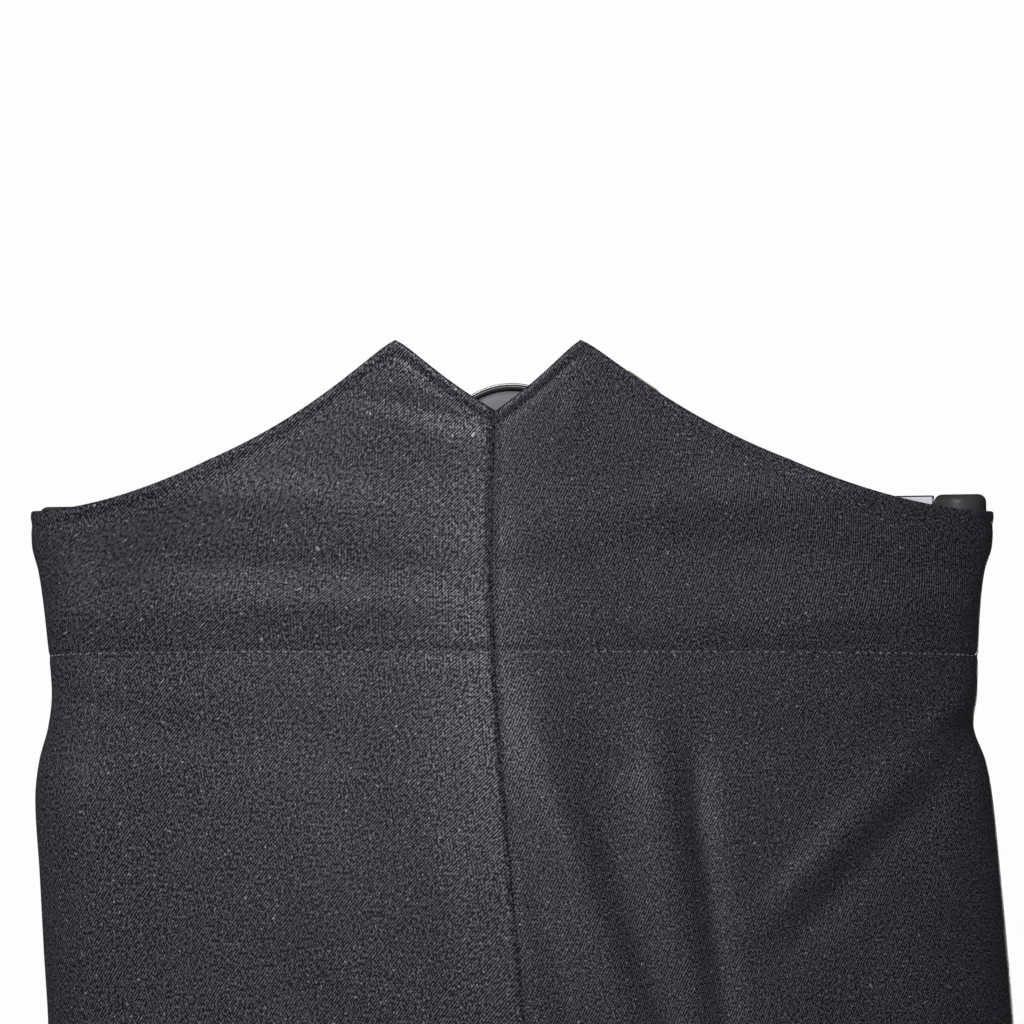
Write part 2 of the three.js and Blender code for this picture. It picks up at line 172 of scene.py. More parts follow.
# Folds that are shared with the solids. A ridge has a height above 0, a trough one below it, and
# each runs from x0, z0 to x1, z1 on its face, in millimetres.
FOLD_COLUMNS = ("face", "x0", "z0", "x1", "z1", "width", "height")
FOLDS = (
    (-1, 8, -98, 60, -262, 12, 4.0),
    (-1, 6, -150, 30, -262, 8, -1.5),
    (-1, 28, -130, 76, -262, 8, -2.8),
    (-1, 58, -104, 80, -262, 12, 3.0),
    (-1, 73, -120, 90, -262, 7, -3.5),
    (-1, 190, -100, 106, -186, 9, 3.0),
    (-1, 192, -119, 112, -198, 10, -3.4),
    (-1, -139, -120, -150, -250, 24, -3.5),
    (-1, -60, -126, -66, -168, 14, -1.5),
    (-1, -190, -104, -120, -112, 10, -1.8),
    (1, -60, -70, -96, -230, 14, 3.0),
    (1, 66, -74, 104, -230, 14, 3.0),
    (1, -28, -150, -70, -300, 11, -2.5),
    (1, 34, -150, 78, -300, 11, -2.5),
    (-1, -60, -400, -86, -470, 20, -3.0),
    (-1, 74, -396, 102, -470, 20, -3.0),
)
FOLD_FADE = 26

# Creases and puckers too small for the solids, in the same columns, most of them on the back.
CREASES = (
    (-1, -62, 26, -6, 13, 3.0, -0.9),       # pressed line inside the left point, to the notch
    (-1, -52, 17, -14, 6, 8.0, 0.7),
    (-1, 32, 36, 22, 12, 4.0, 0.5),
    (-1, 9, -100, 22, -142, 9.0, -1.2),
    (-1, 71, -124, 75, -156, 3.0, -1.3),    # sharp dents beside the long seat folds
    (-1, 76, -158, 86, -232, 3.5, -1.1),
    (-1, 34, -150, 56, -222, 3.5, -1.0),
    (-1, 24, -112, 44, -170, 4.5, 0.6),
    (-1, 186, -110, 158, -128, 4.0, -1.4),  # sharp lines that fan out from the right pinch
    (-1, 190, -99, 168, -110, 3.5, 1.0),
    (-1, 150, -134, 118, -172, 6.0, 1.0),
    (-1, 176, -150, 140, -214, 10.0, -1.4),
    (-1, -186, -104, -158, -110, 3.0, 0.8),
    (-1, -184, -112, -150, -118, 4.0, -0.9),
    (-1, -120, -140, -118, -236, 14.0, 1.1),
    (-1, -96, -210, -20, -262, 12.0, -1.2),
    (-1, -30, -150, -22, -236, 9.0, 0.8),
    (-1, -88, -330, -150, -300, 9, -1.6),   # slack that hangs under the seat
    (-1, 108, -334, 168, -300, 9, -1.6),
    (-1, -70, -372, -140, -352, 8, 1.2),
    (-1, 88, -376, 158, -356, 8, 1.2),
    (1, -14, -300, -84, -250, 7, -1.8),     # whiskers from the fork across the front
    (1, 30, -302, 98, -252, 7, -1.8),
    (1, -18, -322, -104, -296, 7, 1.4),
    (1, 34, -324, 116, -298, 7, 1.4),
    (1, -150, -130, -178, -210, 9, 1.2),
    (1, 156, -134, 186, -216, 9, 1.2),
    (-1, -60, -640, -118, -668, 9, -1.5),   # soft breaks behind and before the knees
    (-1, 78, -648, 132, -672, 9, -1.5),
    (-1, -66, -694, -124, -676, 8, 1.2),
    (-1, 80, -700, 134, -684, 8, 1.2),
    (1, -64, -610, -116, -626, 9, -1.2),
    (1, 82, -614, 130, -632, 9, -1.2),
)
# Shallow waves right across both back panels, as the waist facing pulls the cloth.
WAVE_COLUMNS = ("z", "width", "height")
WAVES = ((-17, 9, 1.5), (-41, 9, -2.0), (-63, 9, 1.9), (-96, 12, 0.6), (-118, 10, -0.5))
WAVE_SHARE = {"left": 0.95, "right": 1.6}
WAVE_FREE = 52 * MM          # the crown at the seat seam keeps the cloth smooth
WAVE_DRIFT = 4 * MM
WAVE_DRIFT_TURN = 21         # radians for each metre across
SEAM_CLOSE = 0.13 * MM       # the sewn panels meet, closer than their solids do
SEAM_CLOSE_REACH = 0.02      # shares of a panel's width, or of its depth
CREASE_REACH = 0.16
FOLDS_FROM = 0.35
FORK_ROUNDING = 1.5
SEAM_RIDGE = 1.2 * MM
SEAM_RIDGE_REACH = 20 * MM
CROWN = 12 * MM
CROWN_REACH = 60 * MM


def push_of(rows, columns, face, x, z):
    """Sum of all folds in a table at places x, z on one face."""
    push = np.zeros_like(x)
    for row in rows:
        fold = dict(zip(columns, row))
        if fold["face"] != face["sign"]:
            continue
        run = np.array((fold["x1"] - fold["x0"], fold["z1"] - fold["z0"]), float) * MM
        length = float(np.linalg.norm(run))
        run = run / length
        dx, dz = x - fold["x0"] * MM, z - fold["z0"] * MM
        along, across = dx * run[0] + dz * run[1], dx * run[1] - dz * run[0]
        faded = min(FOLD_FADE, length / MM / 2) * MM
        fade = smooth((along + faded) / (2 * faded)) * smooth((length + faded - along) / (2 * faded))
        push = push + fold["height"] * MM * fade * bell(across, fold["width"] * MM)
    return push


def cloth_point(side, face, z, u):
    """Middle surface of the cloth at heights z and columns u, 0 at the seam or inseam, 1 at the side."""
    power = 2 * MM / outline("square", z)
    down = np.clip((SEAT_Z - z) / (SEAT_Z - CROTCH_Z), 0, 1)
    turned = 1 - (1 - down**2) ** FORK_ROUNDING
    angle = -(math.pi / 2 + np.arcsin(np.clip(turned, 0, 1))) * (1 - u)
    inner = at(LEG, LEG_COLUMNS, "inseam", z)
    wrap = turned**power
    radius = (half_width(side, z) - inner) / (1 + wrap)
    across = np.sign(np.cos(angle)) * np.abs(np.cos(angle)) ** power
    deep = np.abs(np.sin(angle)) ** power
    x = outline("seam", z) + side["sign"] * (inner + radius * wrap + radius * across)
    x = x - side["sign"] * SEAM_CLOSE * (1 - smooth(u / SEAM_CLOSE_REACH)) * (1 - down)
    crease = at(LEG, LEG_COLUMNS, "crease", z) * np.clip(1 - np.abs(u - 0.5) / CREASE_REACH, 0, 1) ** 2
    open_face = smooth(deep / FOLDS_FROM)
    push = crease + push_of(FOLDS, FOLD_COLUMNS, face, x, z) * open_face
    push = push + push_of(CREASES, FOLD_COLUMNS, face, x, z) * open_face
    if face is BACK:
        from_seam = np.abs(x - outline("seam", z))
        bow = CROWN * bell(from_seam, CROWN_REACH)
        push = push + (bow + SEAM_RIDGE * np.exp(-from_seam / SEAM_RIDGE_REACH)) * (1 - down)
        for row in WAVES:
            wave = dict(zip(WAVE_COLUMNS, row))
            drift = WAVE_DRIFT * np.sin(x * WAVE_DRIFT_TURN + wave["z"])
            height = wave["height"] * WAVE_SHARE[side["name"]] * MM
            rise = height * bell(z - wave["z"] * MM + drift, wave["width"] * MM)
            push = push + rise * open_face * (1 - bell(from_seam, WAVE_FREE))
    depth = outline(face["name"], z) * deep + push + SEAM_GAP / 2
    return np.stack((x, SIDE_SEAM_Y + face["sign"] * depth, z), -1)


# Sewn relief of a panel: the rolled top edge, the groove of the waist stitching and its puckers,
# the pinched seams and the dart lines, all as small moves in or out along the cloth's normal.
EDGE_ROLL = 4.6 * MM
ROLL_HEIGHT = 0.5 * MM
GROOVE = 0.8 * MM
PUCKER = 0.14 * MM
PUCKER_REACH = 5 * MM
SEAM_PINCH = 0.18 * MM
SEAM_PINCH_REACH = 0.75 * MM
SIDE_PINCH = 0.8 * MM
SIDE_PINCH_REACH = 2.0 * MM
SIDE_SLANT = 0.55            # the cloth turns away from the viewer at the side seams
DART_PINCH = 0.35 * MM
DART_PINCH_REACH = 0.9 * MM
HEM_PINCH = 0.35 * MM
HEM_PINCH_REACH = 1.5 * MM
STITCH_PITCH = 3.6 * MM
HEM_DEPTH = 42 * MM
FLY = {"width": 38 * MM, "foot_z": -0.218, "stand": 0.6 * MM}
DART_COLUMNS = ("side", "x_top", "z_top", "x_foot", "z_foot")
DARTS = (("right", 55.5, -3, 52.5, -76), ("left", -19.5, -20, -23.0, -74))


def dart_distance(dart, x, z):
    run = np.array((dart["x_foot"] - dart["x_top"], dart["z_foot"] - dart["z_top"]), float) * MM
    length = float(np.linalg.norm(run))
    run = run / length
    dx, dz = x - dart["x_top"] * MM, z - dart["z_top"] * MM
    along = dx * run[0] + dz * run[1]
    return np.abs(dx * run[1] - dz * run[0]), smooth(along / 0.008) * smooth((length - along) / 0.006 + 1)


def sewn_relief(side, face, point, u, below_top, along_row):
    x, z = point[..., 0], point[..., 2]
    uneven = 0.75 + 0.25 * np.sin(along_row * 71 + 1.3 * np.sin(along_row * 173))
    relief = ROLL_HEIGHT * bell(below_top - 0.45 * EDGE_ROLL, 0.5 * EDGE_ROLL)
    relief = relief - GROOVE * uneven * bell(below_top - 1.25 * EDGE_ROLL, 0.36 * EDGE_ROLL)
    relief = relief * smooth((1 - u) / 0.06)
    from_waist = z - waist_line(u)
    pucker = PUCKER * np.sin(along_row / STITCH_PITCH * math.pi + np.sin(along_row * 90))
    drawn = GROOVE * 1.1 * bell(from_waist, 1.0 * MM) * smooth((1 - u) / 0.05)
    relief = relief - drawn + pucker * bell(from_waist, PUCKER_REACH)
    if face is BACK:
        relief = relief - SEAM_PINCH * bell(along_row, SEAM_PINCH_REACH)
        for row in DARTS:
            dart = dict(zip(DART_COLUMNS, row))
            if dart["side"] == side["name"]:
                gap, there = dart_distance(dart, x, z)
                relief = relief - DART_PINCH * bell(gap, DART_PINCH_REACH) * there
    elif side is LEFT:
        on_fly = smooth((FLY["width"] - along_row) / (2 * MM)) * smooth((z - FLY["foot_z"]) / (8 * MM))
        relief = relief + FLY["stand"] * on_fly
    relief = relief - SIDE_PINCH * bell((1 - u) * half_width(side, z) * SIDE_SLANT, SIDE_PINCH_REACH)
    return relief - HEM_PINCH * bell(z - HEM_Z - HEM_DEPTH, HEM_PINCH_REACH)


# Grid of a panel: rows are close together at the rolled edge, fine where the photo looks, wider
# down the legs, and columns are even along the cloth.
EDGE_STEPS_MM = (0, 0.5, 1.1, 1.8, 2.6, 3.4, 4.2, 5.0, 5.8, 6.6, 7.6, 9.0, 11.0)
GRIDS = {
    "back": {"columns": 116, "above_waist": 44, "step": 2.0 * MM, "leg_step": 8 * MM},
    "front": {"columns": 72, "above_waist": 22, "step": 3.4 * MM, "leg_step": 11 * MM},
}
PHOTO_FOOT_Z = -0.262
EASE_DROP = 12 * MM          # rows that follow the waist's arch become level over this drop
SEAT_ROWS = 26


def panel_grid(side, face):
    """Heights, columns and distance below the top edge for a panel's points."""
    grid = GRIDS[face["name"]]
    tip = tip_column(side)
    columns = np.linspace(0, 1, grid["columns"])
    if face is BACK:
        inner = max(3, round(tip * grid["columns"]))
        outer = grid["columns"] - inner + 1
        columns = np.concatenate((np.linspace(0, tip, inner), np.linspace(tip, 1, outer)[1:]))
    top, waist = top_edge(side, face, columns), waist_line(columns)
    edge = [top - step * MM for step in EDGE_STEPS_MM]
    rest = np.linspace(0, 1, grid["above_waist"])[1:]
    above = edge + [edge[-1] + (waist - edge[-1]) * share for share in rest]
    start = float(waist.min())
    easing = [waist + (start - EASE_DROP - waist) * share for share in (0.2, 0.4, 0.6, 0.8, 1.0)]
    photo = np.arange(start - EASE_DROP - grid["step"], PHOTO_FOOT_Z, -grid["step"])
    seat = SEAT_Z - (SEAT_Z - CROTCH_Z) * np.sin(np.linspace(0, math.pi / 2, SEAT_ROWS))
    seat = seat[seat < photo[-1] - grid["step"] / 2]
    leg = np.linspace(CROTCH_Z, HEM_Z, int((CROTCH_Z - HEM_Z) / grid["leg_step"]))[1:]
    level = [np.full_like(columns, z) for z in (*photo, *seat, *leg)]
    heights = np.array(above + easing + level)
    return heights, np.broadcast_to(columns, heights.shape), top - heights


WAIST_ROW = {name: len(EDGE_STEPS_MM) + grid["above_waist"] - 2 for name, grid in GRIDS.items()}


def normals_of(points):
    across = np.gradient(points, axis=1)
    down = np.gradient(points, axis=0)
    normal = np.cross(across, down)
    return normal / np.linalg.norm(normal, axis=-1, keepdims=True)


def lengths_along(points, axis):
    steps = np.linalg.norm(np.diff(points, axis=axis), axis=-1)
    return np.concatenate((np.zeros_like(np.take(steps, [0], axis)), np.cumsum(steps, axis)), axis)


def panel_surface(side, face):
    """Middle surface with its sewn relief, outward normals, and lengths along rows and columns."""
    heights, columns, below_top = panel_grid(side, face)
    points = cloth_point(side, face, heights, columns)
    along_row = lengths_along(points, 1)
    normal = normals_of(points) * side["sign"] * face["sign"]
    if normal[20, 20, 1] * face["sign"] < 0:
        normal = -normal
    normal[heights[:, 0] > CROTCH_Z, 0, 0] = 0
    normal[:, -1, 1] = 0
    leg_rows = heights[:, 0] <= CROTCH_Z + MM / 2
    normal[leg_rows, 0] = (-side["sign"], 0, 0)
    normal /= np.linalg.norm(normal, axis=-1, keepdims=True)
    points = points + normal * sewn_relief(side, face, points, columns, below_top, along_row)[..., None]
    down_column = lengths_along(points, 0)
    return points, normal, along_row, down_column[WAIST_ROW[face["name"]]] - down_column


# How far the grain leans on each panel, from the middle seam to the side seam: the twill of the
# two backs meets at the seat seam at different slopes, as cut pieces do.
LEAN = {
    ("back", "left"): (-0.41, -0.19),
    ("back", "right"): (0.25, 0.127),
    ("front", "left"): (-0.06, 0.06),
    ("front", "right"): (-0.06, 0.06),
}
LEAN_REACH = 200 * MM
LEAN_LIMIT = 170 * MM
LEAN_STRETCH = {"left": 0.86, "right": 1.09}    # keeps the ribs' pitch where the lean spreads them


def grain_coordinates(side, face, along_row, along_column):
    """Flat pattern coordinates in metres, U to the viewer's right and V up, as the cloth was cut."""
    near, far = LEAN[(face["name"], side["name"])]
    lean = near + (far - near) * smooth(along_row / LEAN_REACH)
    held = LEAN_LIMIT * np.tanh(along_column / LEAN_LIMIT)
    to_right = side["sign"] * -face["sign"]
    stretch = LEAN_STRETCH[side["name"]] if face is BACK else 1.0
    return (to_right * along_row + held * lean) * stretch, along_column * stretch


def lay_piece(name, mesh, material, replaced=None):
    """Makes a mesh a piece of the body; replaced is the name of the solid that it stands for."""
    mesh.materials.append(material)
    piece = bpy.data.objects.new(name, mesh)
    bpy.context.collection.objects.link(piece)
    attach(piece, "root")
    if replaced:
        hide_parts(replaced)
    return piece


RIM_STAND = 0.3              # share of the cloth by which a rounded rim stands out


def cloth_wall(name, outer, inner, flat, material, rim_stand=0.0):
    """Closed wall of cloth between two grids, with flat pattern coordinates (U, V)."""
    rows, columns = outer.shape[:2]
    middle = (outer + inner) / 2
    rim = [(0, j) for j in range(columns)] + [(i, columns - 1) for i in range(1, rows)]
    rim += [(rows - 1, j) for j in range(columns - 2, -1, -1)]
    rim += [(i, 0) for i in range(rows - 2, 0, -1)]
    stand = np.zeros_like(middle)
    stand[0] = middle[0] - middle[1]
    stand[-1] = middle[-1] - middle[-2]
    length = np.linalg.norm(stand, axis=-1, keepdims=True)
    stand = np.where(length > 0, stand / np.maximum(length, 1e-9), 0)
    edge = [middle[i, j] + stand[i, j] * CLOTH * rim_stand for i, j in rim]
    points = np.concatenate((outer.reshape(-1, 3), inner.reshape(-1, 3), np.array(edge)))
    count = rows * columns
    index = np.arange(count).reshape(rows, columns)
    a, b, c, d = index[:-1, :-1], index[1:, :-1], index[1:, 1:], index[:-1, 1:]
    front = np.stack((a, b, c, d), -1).reshape(-1, 4)
    back = np.stack((a, d, c, b), -1).reshape(-1, 4) + count
    loop = np.array([i * columns + j for i, j in rim])
    after, at_rim = np.roll(loop, -1), 2 * count + np.arange(len(rim))
    next_rim = np.roll(at_rim, -1)
    sides = np.concatenate((
        np.stack((loop, after, next_rim, at_rim), -1),
        np.stack((at_rim, next_rim, after + count, loop + count), -1),
    ))
    faces = np.concatenate((front, back, sides))
    sample = front[len(front) // 3]
    a, b, c = points[sample[:3]]
    outward = a - points[sample[0] + count]
    if np.dot(np.cross(b - a, c - a), outward) < 0:
        faces = faces[:, ::-1]
    mesh = bpy.data.meshes.new(name)
    mesh.from_pydata(points.tolist(), [], faces.tolist())
    flat = np.stack(flat, -1).reshape(-1, 2)
    flat = np.concatenate((flat, flat, flat[loop]))
    layer = mesh.uv_layers.new(name="cut")
    corners = np.empty(len(mesh.loops), int)
    mesh.loops.foreach_get("vertex_index", corners)
    layer.data.foreach_set("uv", flat[corners].ravel())
    mesh.polygons.foreach_set("use_smooth", [True] * len(mesh.polygons))
    mesh.update()
    return lay_piece(name, mesh, material, name.removesuffix("_cloth"))


def linear(hex_colour):
    """sRGB hex to linear RGBA."""
    channels = [int(hex_colour[i:i + 2], 16) / 255 for i in (1, 3, 5)]
    return (*(c / 12.92 if c <= 0.04045 else ((c + 0.055) / 1.055) ** 2.4 for c in channels), 1)


def node(tree, kind, settings=None, links=None):
    """Adds a node with its settings and its links, each input from an output or a value."""
    made = tree.nodes.new(kind)
    for key, value in (settings or {}).items():
        setattr(made, key, value)
    for key, value in (links or {}).items():
        if isinstance(value, bpy.types.NodeSocket):
            tree.links.new(value, made.inputs[key])
        else:
            made.inputs[key].default_value = value
    return made


def new_material(name):
    material = bpy.data.materials.new(name)
    material.use_nodes = True
    tree = material.node_tree
    tree.nodes.clear()
    shader = node(tree, "ShaderNodeBsdfPrincipled")
    output = node(tree, "ShaderNodeOutputMaterial", links={"Surface": shader.outputs["BSDF"]})
    output.location = (600, 0)
    return material, tree, shader


# Wool twill, woven from mixed light and dark yarns, milled and pressed: steep ribs that rise to
# the right, crossed by rows of weft in patches, with a dull fuzz and stray pale fibres. The eye
# reads matt charcoal with a fine salt-and-pepper grain and a low shine on the pressed yarns.
# The gaps between the ribs carry painted shade, near black, and faint clouds of painted shine
# and shade lie over the cloth.
TWILL_PITCH = 1.05 * MM
TWILL_RISE = math.radians(53.5)
FLOAT_LENGTH = 1.05 * MM
WEFT_TURN = 0.55             # radians from the ribs to the rows of weft that cross them
WAVE_UNIT = 0.31416          # a wave texture of scale 1 repeats in this length
SWAY = 0.9 * MM              # how far the ribs wander, and over what distance
SWAY_SPOT = 11.1 * MM
PATCH_SPOT = 13.3 * MM       # spots where the weft shows more, or less
FUZZ_SPOT = 1.053 * MM       # far coarser than wool's own fuzz, which would not show
PAINTED_SHINE_SPOT = 71.4 * MM       # faint light and dark clouds of painted shine and shade on the pressed cloth
LINT_SPACING = 1.786 * MM    # stray fibres, each bent and moved from its even place
LINT_STRAY = 2.6 * MM
LINT_STRAY_SPOT = 3.33 * MM
# the darkest tone: dark yarn, deepened to near black as painted shade in the gaps between the ribs
TWILL_DARK_AND_GAP_SHADE = "#020203"
TWILL_MID = "#27262b"
TWILL_PALE = "#818089"
LINT = "#e2e1e5"
PRESSED_SHEEN = "#b9b9c4"


def twill_material():
    material, tree, shader = new_material("wool_twill")
    cut = node(tree, "ShaderNodeUVMap", {"uv_map": "cut"}).outputs["UV"]
    sway = node(tree, "ShaderNodeTexNoise", {"noise_dimensions": "2D"}, {
        "Vector": cut, "Scale": 1 / SWAY_SPOT, "Detail": 3.0, "Roughness": 0.65})
    sway = node(tree, "ShaderNodeVectorMath",
        {"operation": "SUBTRACT"}, {0: sway.outputs["Color"], 1: (0.5, 0.5, 0.5)})
    sway = node(tree, "ShaderNodeVectorMath",
        {"operation": "SCALE"}, {0: sway.outputs["Vector"], "Scale": SWAY})
    place = node(tree, "ShaderNodeVectorMath", {"operation": "ADD"}, {0: cut, 1: sway.outputs["Vector"]})
    turned = node(tree, "ShaderNodeMapping",
        links={"Vector": place.outputs["Vector"], "Rotation": (0, 0, -TWILL_RISE)})
    crossed = node(tree, "ShaderNodeMapping", links={
        "Vector": place.outputs["Vector"], "Rotation": (0, 0, WEFT_TURN - TWILL_RISE)})
    ribs = node(tree, "ShaderNodeTexWave", {"wave_type": "BANDS", "bands_direction": "Y"}, {
        "Vector": turned.outputs["Vector"], "Scale": WAVE_UNIT / TWILL_PITCH,
        "Distortion": 0.35, "Detail Scale": 2.0})
    floats = node(tree, "ShaderNodeTexWave", {"wave_type": "BANDS", "bands_direction": "X"}, {
        "Vector": crossed.outputs["Vector"], "Scale": WAVE_UNIT / FLOAT_LENGTH,
        "Distortion": 0.35, "Detail Scale": 2.0})
    patch = node(tree, "ShaderNodeTexNoise",
        {"noise_dimensions": "2D"}, {"Vector": cut, "Scale": 1 / PATCH_SPOT, "Detail": 2.0})
    patch = node(tree, "ShaderNodeMapRange", links={
        "Value": patch.outputs["Fac"],
        "From Min": 0.35, "From Max": 0.65, "To Min": 0.12, "To Max": 0.45})
    yarn = node(tree, "ShaderNodeMix", {"data_type": "FLOAT"}, {
        0: patch.outputs["Result"], 2: ribs.outputs["Fac"], 3: floats.outputs["Fac"]})
    fuzz = node(tree, "ShaderNodeTexNoise",
        {"noise_dimensions": "2D"}, {"Vector": cut, "Scale": 1 / FUZZ_SPOT, "Detail": 1.0})
    fuzz = node(tree, "ShaderNodeMath",
        {"operation": "MULTIPLY_ADD"}, {0: fuzz.outputs["Fac"], 1: 2.2, 2: -1.1})
    yarn = node(tree, "ShaderNodeMath", {"operation": "ADD"}, {0: yarn.outputs[0], 1: fuzz.outputs[0]})
    # the ramp runs from dark yarn with painted shade in the rib gaps, through mid grey, to the pale yarn
    tone = node(tree, "ShaderNodeValToRGB", links={"Fac": yarn.outputs[0]})
    ramp = tone.color_ramp
    ramp.elements[0].position, ramp.elements[0].color = 0.25, linear(TWILL_DARK_AND_GAP_SHADE)
    ramp.elements[1].position, ramp.elements[1].color = 0.85, linear(TWILL_PALE)
    ramp.elements.new(0.5).color = linear(TWILL_MID)
    # Painted shine and shade: soft clouds that lighten and darken the cloth's colour by up to a tenth.
    painted_shine_clouds = node(tree, "ShaderNodeTexNoise",
        {"noise_dimensions": "2D"}, {"Vector": cut, "Scale": 1 / PAINTED_SHINE_SPOT, "Detail": 3.0})
    fade = node(tree, "ShaderNodeMapRange", links={
        "Value": painted_shine_clouds.outputs["Fac"], "From Min": 0.3, "From Max": 0.7, "To Min": 0.9, "To Max": 1.1})
    painted_shine_colour = node(tree, "ShaderNodeVectorMath", {"operation": "SCALE"}, {
        0: tone.outputs["Color"], "Scale": fade.outputs["Result"]})
    tangle = node(tree, "ShaderNodeTexNoise",
        {"noise_dimensions": "2D"}, {"Vector": cut, "Scale": 1 / LINT_STRAY_SPOT, "Detail": 0.0})
    tangle = node(tree, "ShaderNodeVectorMath",
        {"operation": "SCALE"}, {0: tangle.outputs["Color"], "Scale": LINT_STRAY})
    strewn = node(tree, "ShaderNodeVectorMath",
        {"operation": "ADD"}, {0: cut, 1: tangle.outputs["Vector"]})
    fibre = node(tree, "ShaderNodeTexVoronoi", {"voronoi_dimensions": "2D", "feature": "F1"}, {
        "Vector": strewn.outputs["Vector"], "Scale": 1 / LINT_SPACING, "Randomness": 1.0})
    chance = node(tree, "ShaderNodeSeparateColor", links={"Color": fibre.outputs["Color"]})
    reach = node(tree, "ShaderNodeMath",
        {"operation": "MULTIPLY_ADD"}, {0: chance.outputs["Blue"], 1: 0.11, 2: 0.055})
    near = node(tree, "ShaderNodeMath",
        {"operation": "LESS_THAN"}, {0: fibre.outputs["Distance"], 1: reach.outputs[0]})
    rare = node(tree, "ShaderNodeMapRange", links={
        "Value": chance.outputs["Red"],
        "From Min": 0.45, "From Max": 1.0, "To Min": 0.0, "To Max": 0.95})
    speck = node(tree, "ShaderNodeMath",
        {"operation": "MULTIPLY"}, {0: near.outputs[0], 1: rare.outputs["Result"]})
    colour = node(tree, "ShaderNodeMix",
        {"data_type": "RGBA"}, {"Factor": speck.outputs[0], 7: linear(LINT)})
    # the cloth's colour with its painted shine and shade, under the stray pale fibres
    tree.links.new(painted_shine_colour.outputs["Vector"], colour.inputs[6])
    tree.links.new(colour.outputs[2], shader.inputs["Base Color"])
    bump = node(tree, "ShaderNodeBump",
        links={"Height": yarn.outputs[0], "Strength": 0.22, "Distance": 0.3 * MM})
    tree.links.new(bump.outputs["Normal"], shader.inputs["Normal"])
    rough = node(tree, "ShaderNodeMapRange", links={
        "Value": yarn.outputs[0], "From Min": 0.3, "From Max": 0.75, "To Min": 0.66, "To Max": 0.3})
    tree.links.new(rough.outputs["Result"], shader.inputs["Roughness"])
    shader.inputs["Specular IOR Level"].default_value = 0.5
    shader.inputs["Sheen Weight"].default_value = 0.06
    shader.inputs["Sheen Roughness"].default_value = 0.6
    shader.inputs["Sheen Tint"].default_value = linear(PRESSED_SHEEN)
    return material


wool_twill = twill_material()
panels, surfaces = {}, {}
for face in (BACK, FRONT):
    for side in (LEFT, RIGHT):
        points, normal, along_row, along_column = panel_surface(side, face)
        flat = grain_coordinates(side, face, along_row, along_column)
        key, half = (face["name"], side["name"]), normal * CLOTH / 2
        surfaces[key] = (points, normal, along_row, along_column)
        panels[key] = cloth_wall(
            f"{face['name']}_panel_{side['name']}_cloth", points + half, points - half, flat,
            wool_twill, RIM_STAND)


# Facings inside the high back: plain beige cotton drill, sewn to the cloth along the top edge and
# through it at the waistline. A sliver rolls up behind the right slope, as the photo shows.
FACING = 1.2 * MM
LAYER_GAP = 0.5 * MM
FACING_REACH = 0.86          # share of the panel's columns that the facing covers
SLIVER = {"from_x": 45 * MM, "to_x": 64 * MM, "ease": 4 * MM, "stand": 1.9 * MM}
SLIVER_ROWS = np.array((1.0, 0.7, 0.3))         # how much the top rows rise with it
DRILL_PITCH = 0.7 * MM
SLUB_SPOT = 4.545 * MM
DRILL_BEIGE = "#e6d6c4"
DRILL_SHADE = "#c9b6a0"


def drill_material():
    material, tree, shader = new_material("cotton_drill")
    cut = node(tree, "ShaderNodeUVMap", {"uv_map": "cut"}).outputs["UV"]
    turned = node(tree, "ShaderNodeMapping",
        links={"Vector": cut, "Rotation": (0, 0, math.radians(45))})
    ribs = node(tree, "ShaderNodeTexWave", {"wave_type": "BANDS", "bands_direction": "X"}, {
        "Vector": turned.outputs["Vector"], "Scale": WAVE_UNIT / DRILL_PITCH,
        "Distortion": 0.8, "Detail": 1.0})
    slubs = node(tree, "ShaderNodeTexNoise",
        {"noise_dimensions": "2D"}, {"Vector": cut, "Scale": 1 / SLUB_SPOT, "Detail": 2.0})
    blend = node(tree, "ShaderNodeMath",
        {"operation": "MULTIPLY"}, {0: ribs.outputs["Fac"], 1: slubs.outputs["Fac"]})
    tone = node(tree, "ShaderNodeValToRGB", links={"Fac": blend.outputs[0]})
    tone.color_ramp.elements[0].color = linear(DRILL_SHADE)
    tone.color_ramp.elements[1].position, tone.color_ramp.elements[1].color = 0.6, linear(DRILL_BEIGE)
    tree.links.new(tone.outputs["Color"], shader.inputs["Base Color"])
    bump = node(tree, "ShaderNodeBump",
        links={"Height": blend.outputs[0], "Strength": 0.4, "Distance": 0.15 * MM})
    tree.links.new(bump.outputs["Normal"], shader.inputs["Normal"])
    shader.inputs["Roughness"].default_value = 0.85
    shader.inputs["Sheen Weight"].default_value = 0.1
    return material


def facing_part(side):
    """Rows and columns of a back panel that its facing covers."""
    columns = panel_grid(side, BACK)[1][0]
    return slice(1, WAIST_ROW["back"] + 2), slice(0, int(np.searchsorted(columns, FACING_REACH)))


cotton_drill = drill_material()
for side in (LEFT, RIGHT):
    part = facing_part(side)
    surface = surfaces[("back", side["name"])]
    points, normal, along_row, along_column = (values[part] for values in surface)
    points, x = points.copy(), points[0, :, 0]
    rise = smooth((x - SLIVER["from_x"]) / SLIVER["ease"])
    rise = rise * smooth((SLIVER["to_x"] - x) / SLIVER["ease"])
    points[:len(SLIVER_ROWS), :, 2] += SLIVER["stand"] * rise * SLIVER_ROWS[:, None]
    near = points - normal * (CLOTH / 2 + LAYER_GAP)
    cloth_wall(
        f"back_facing_{side['name']}_cloth", near, near - normal * FACING, (along_row, along_column),
        cotton_drill)


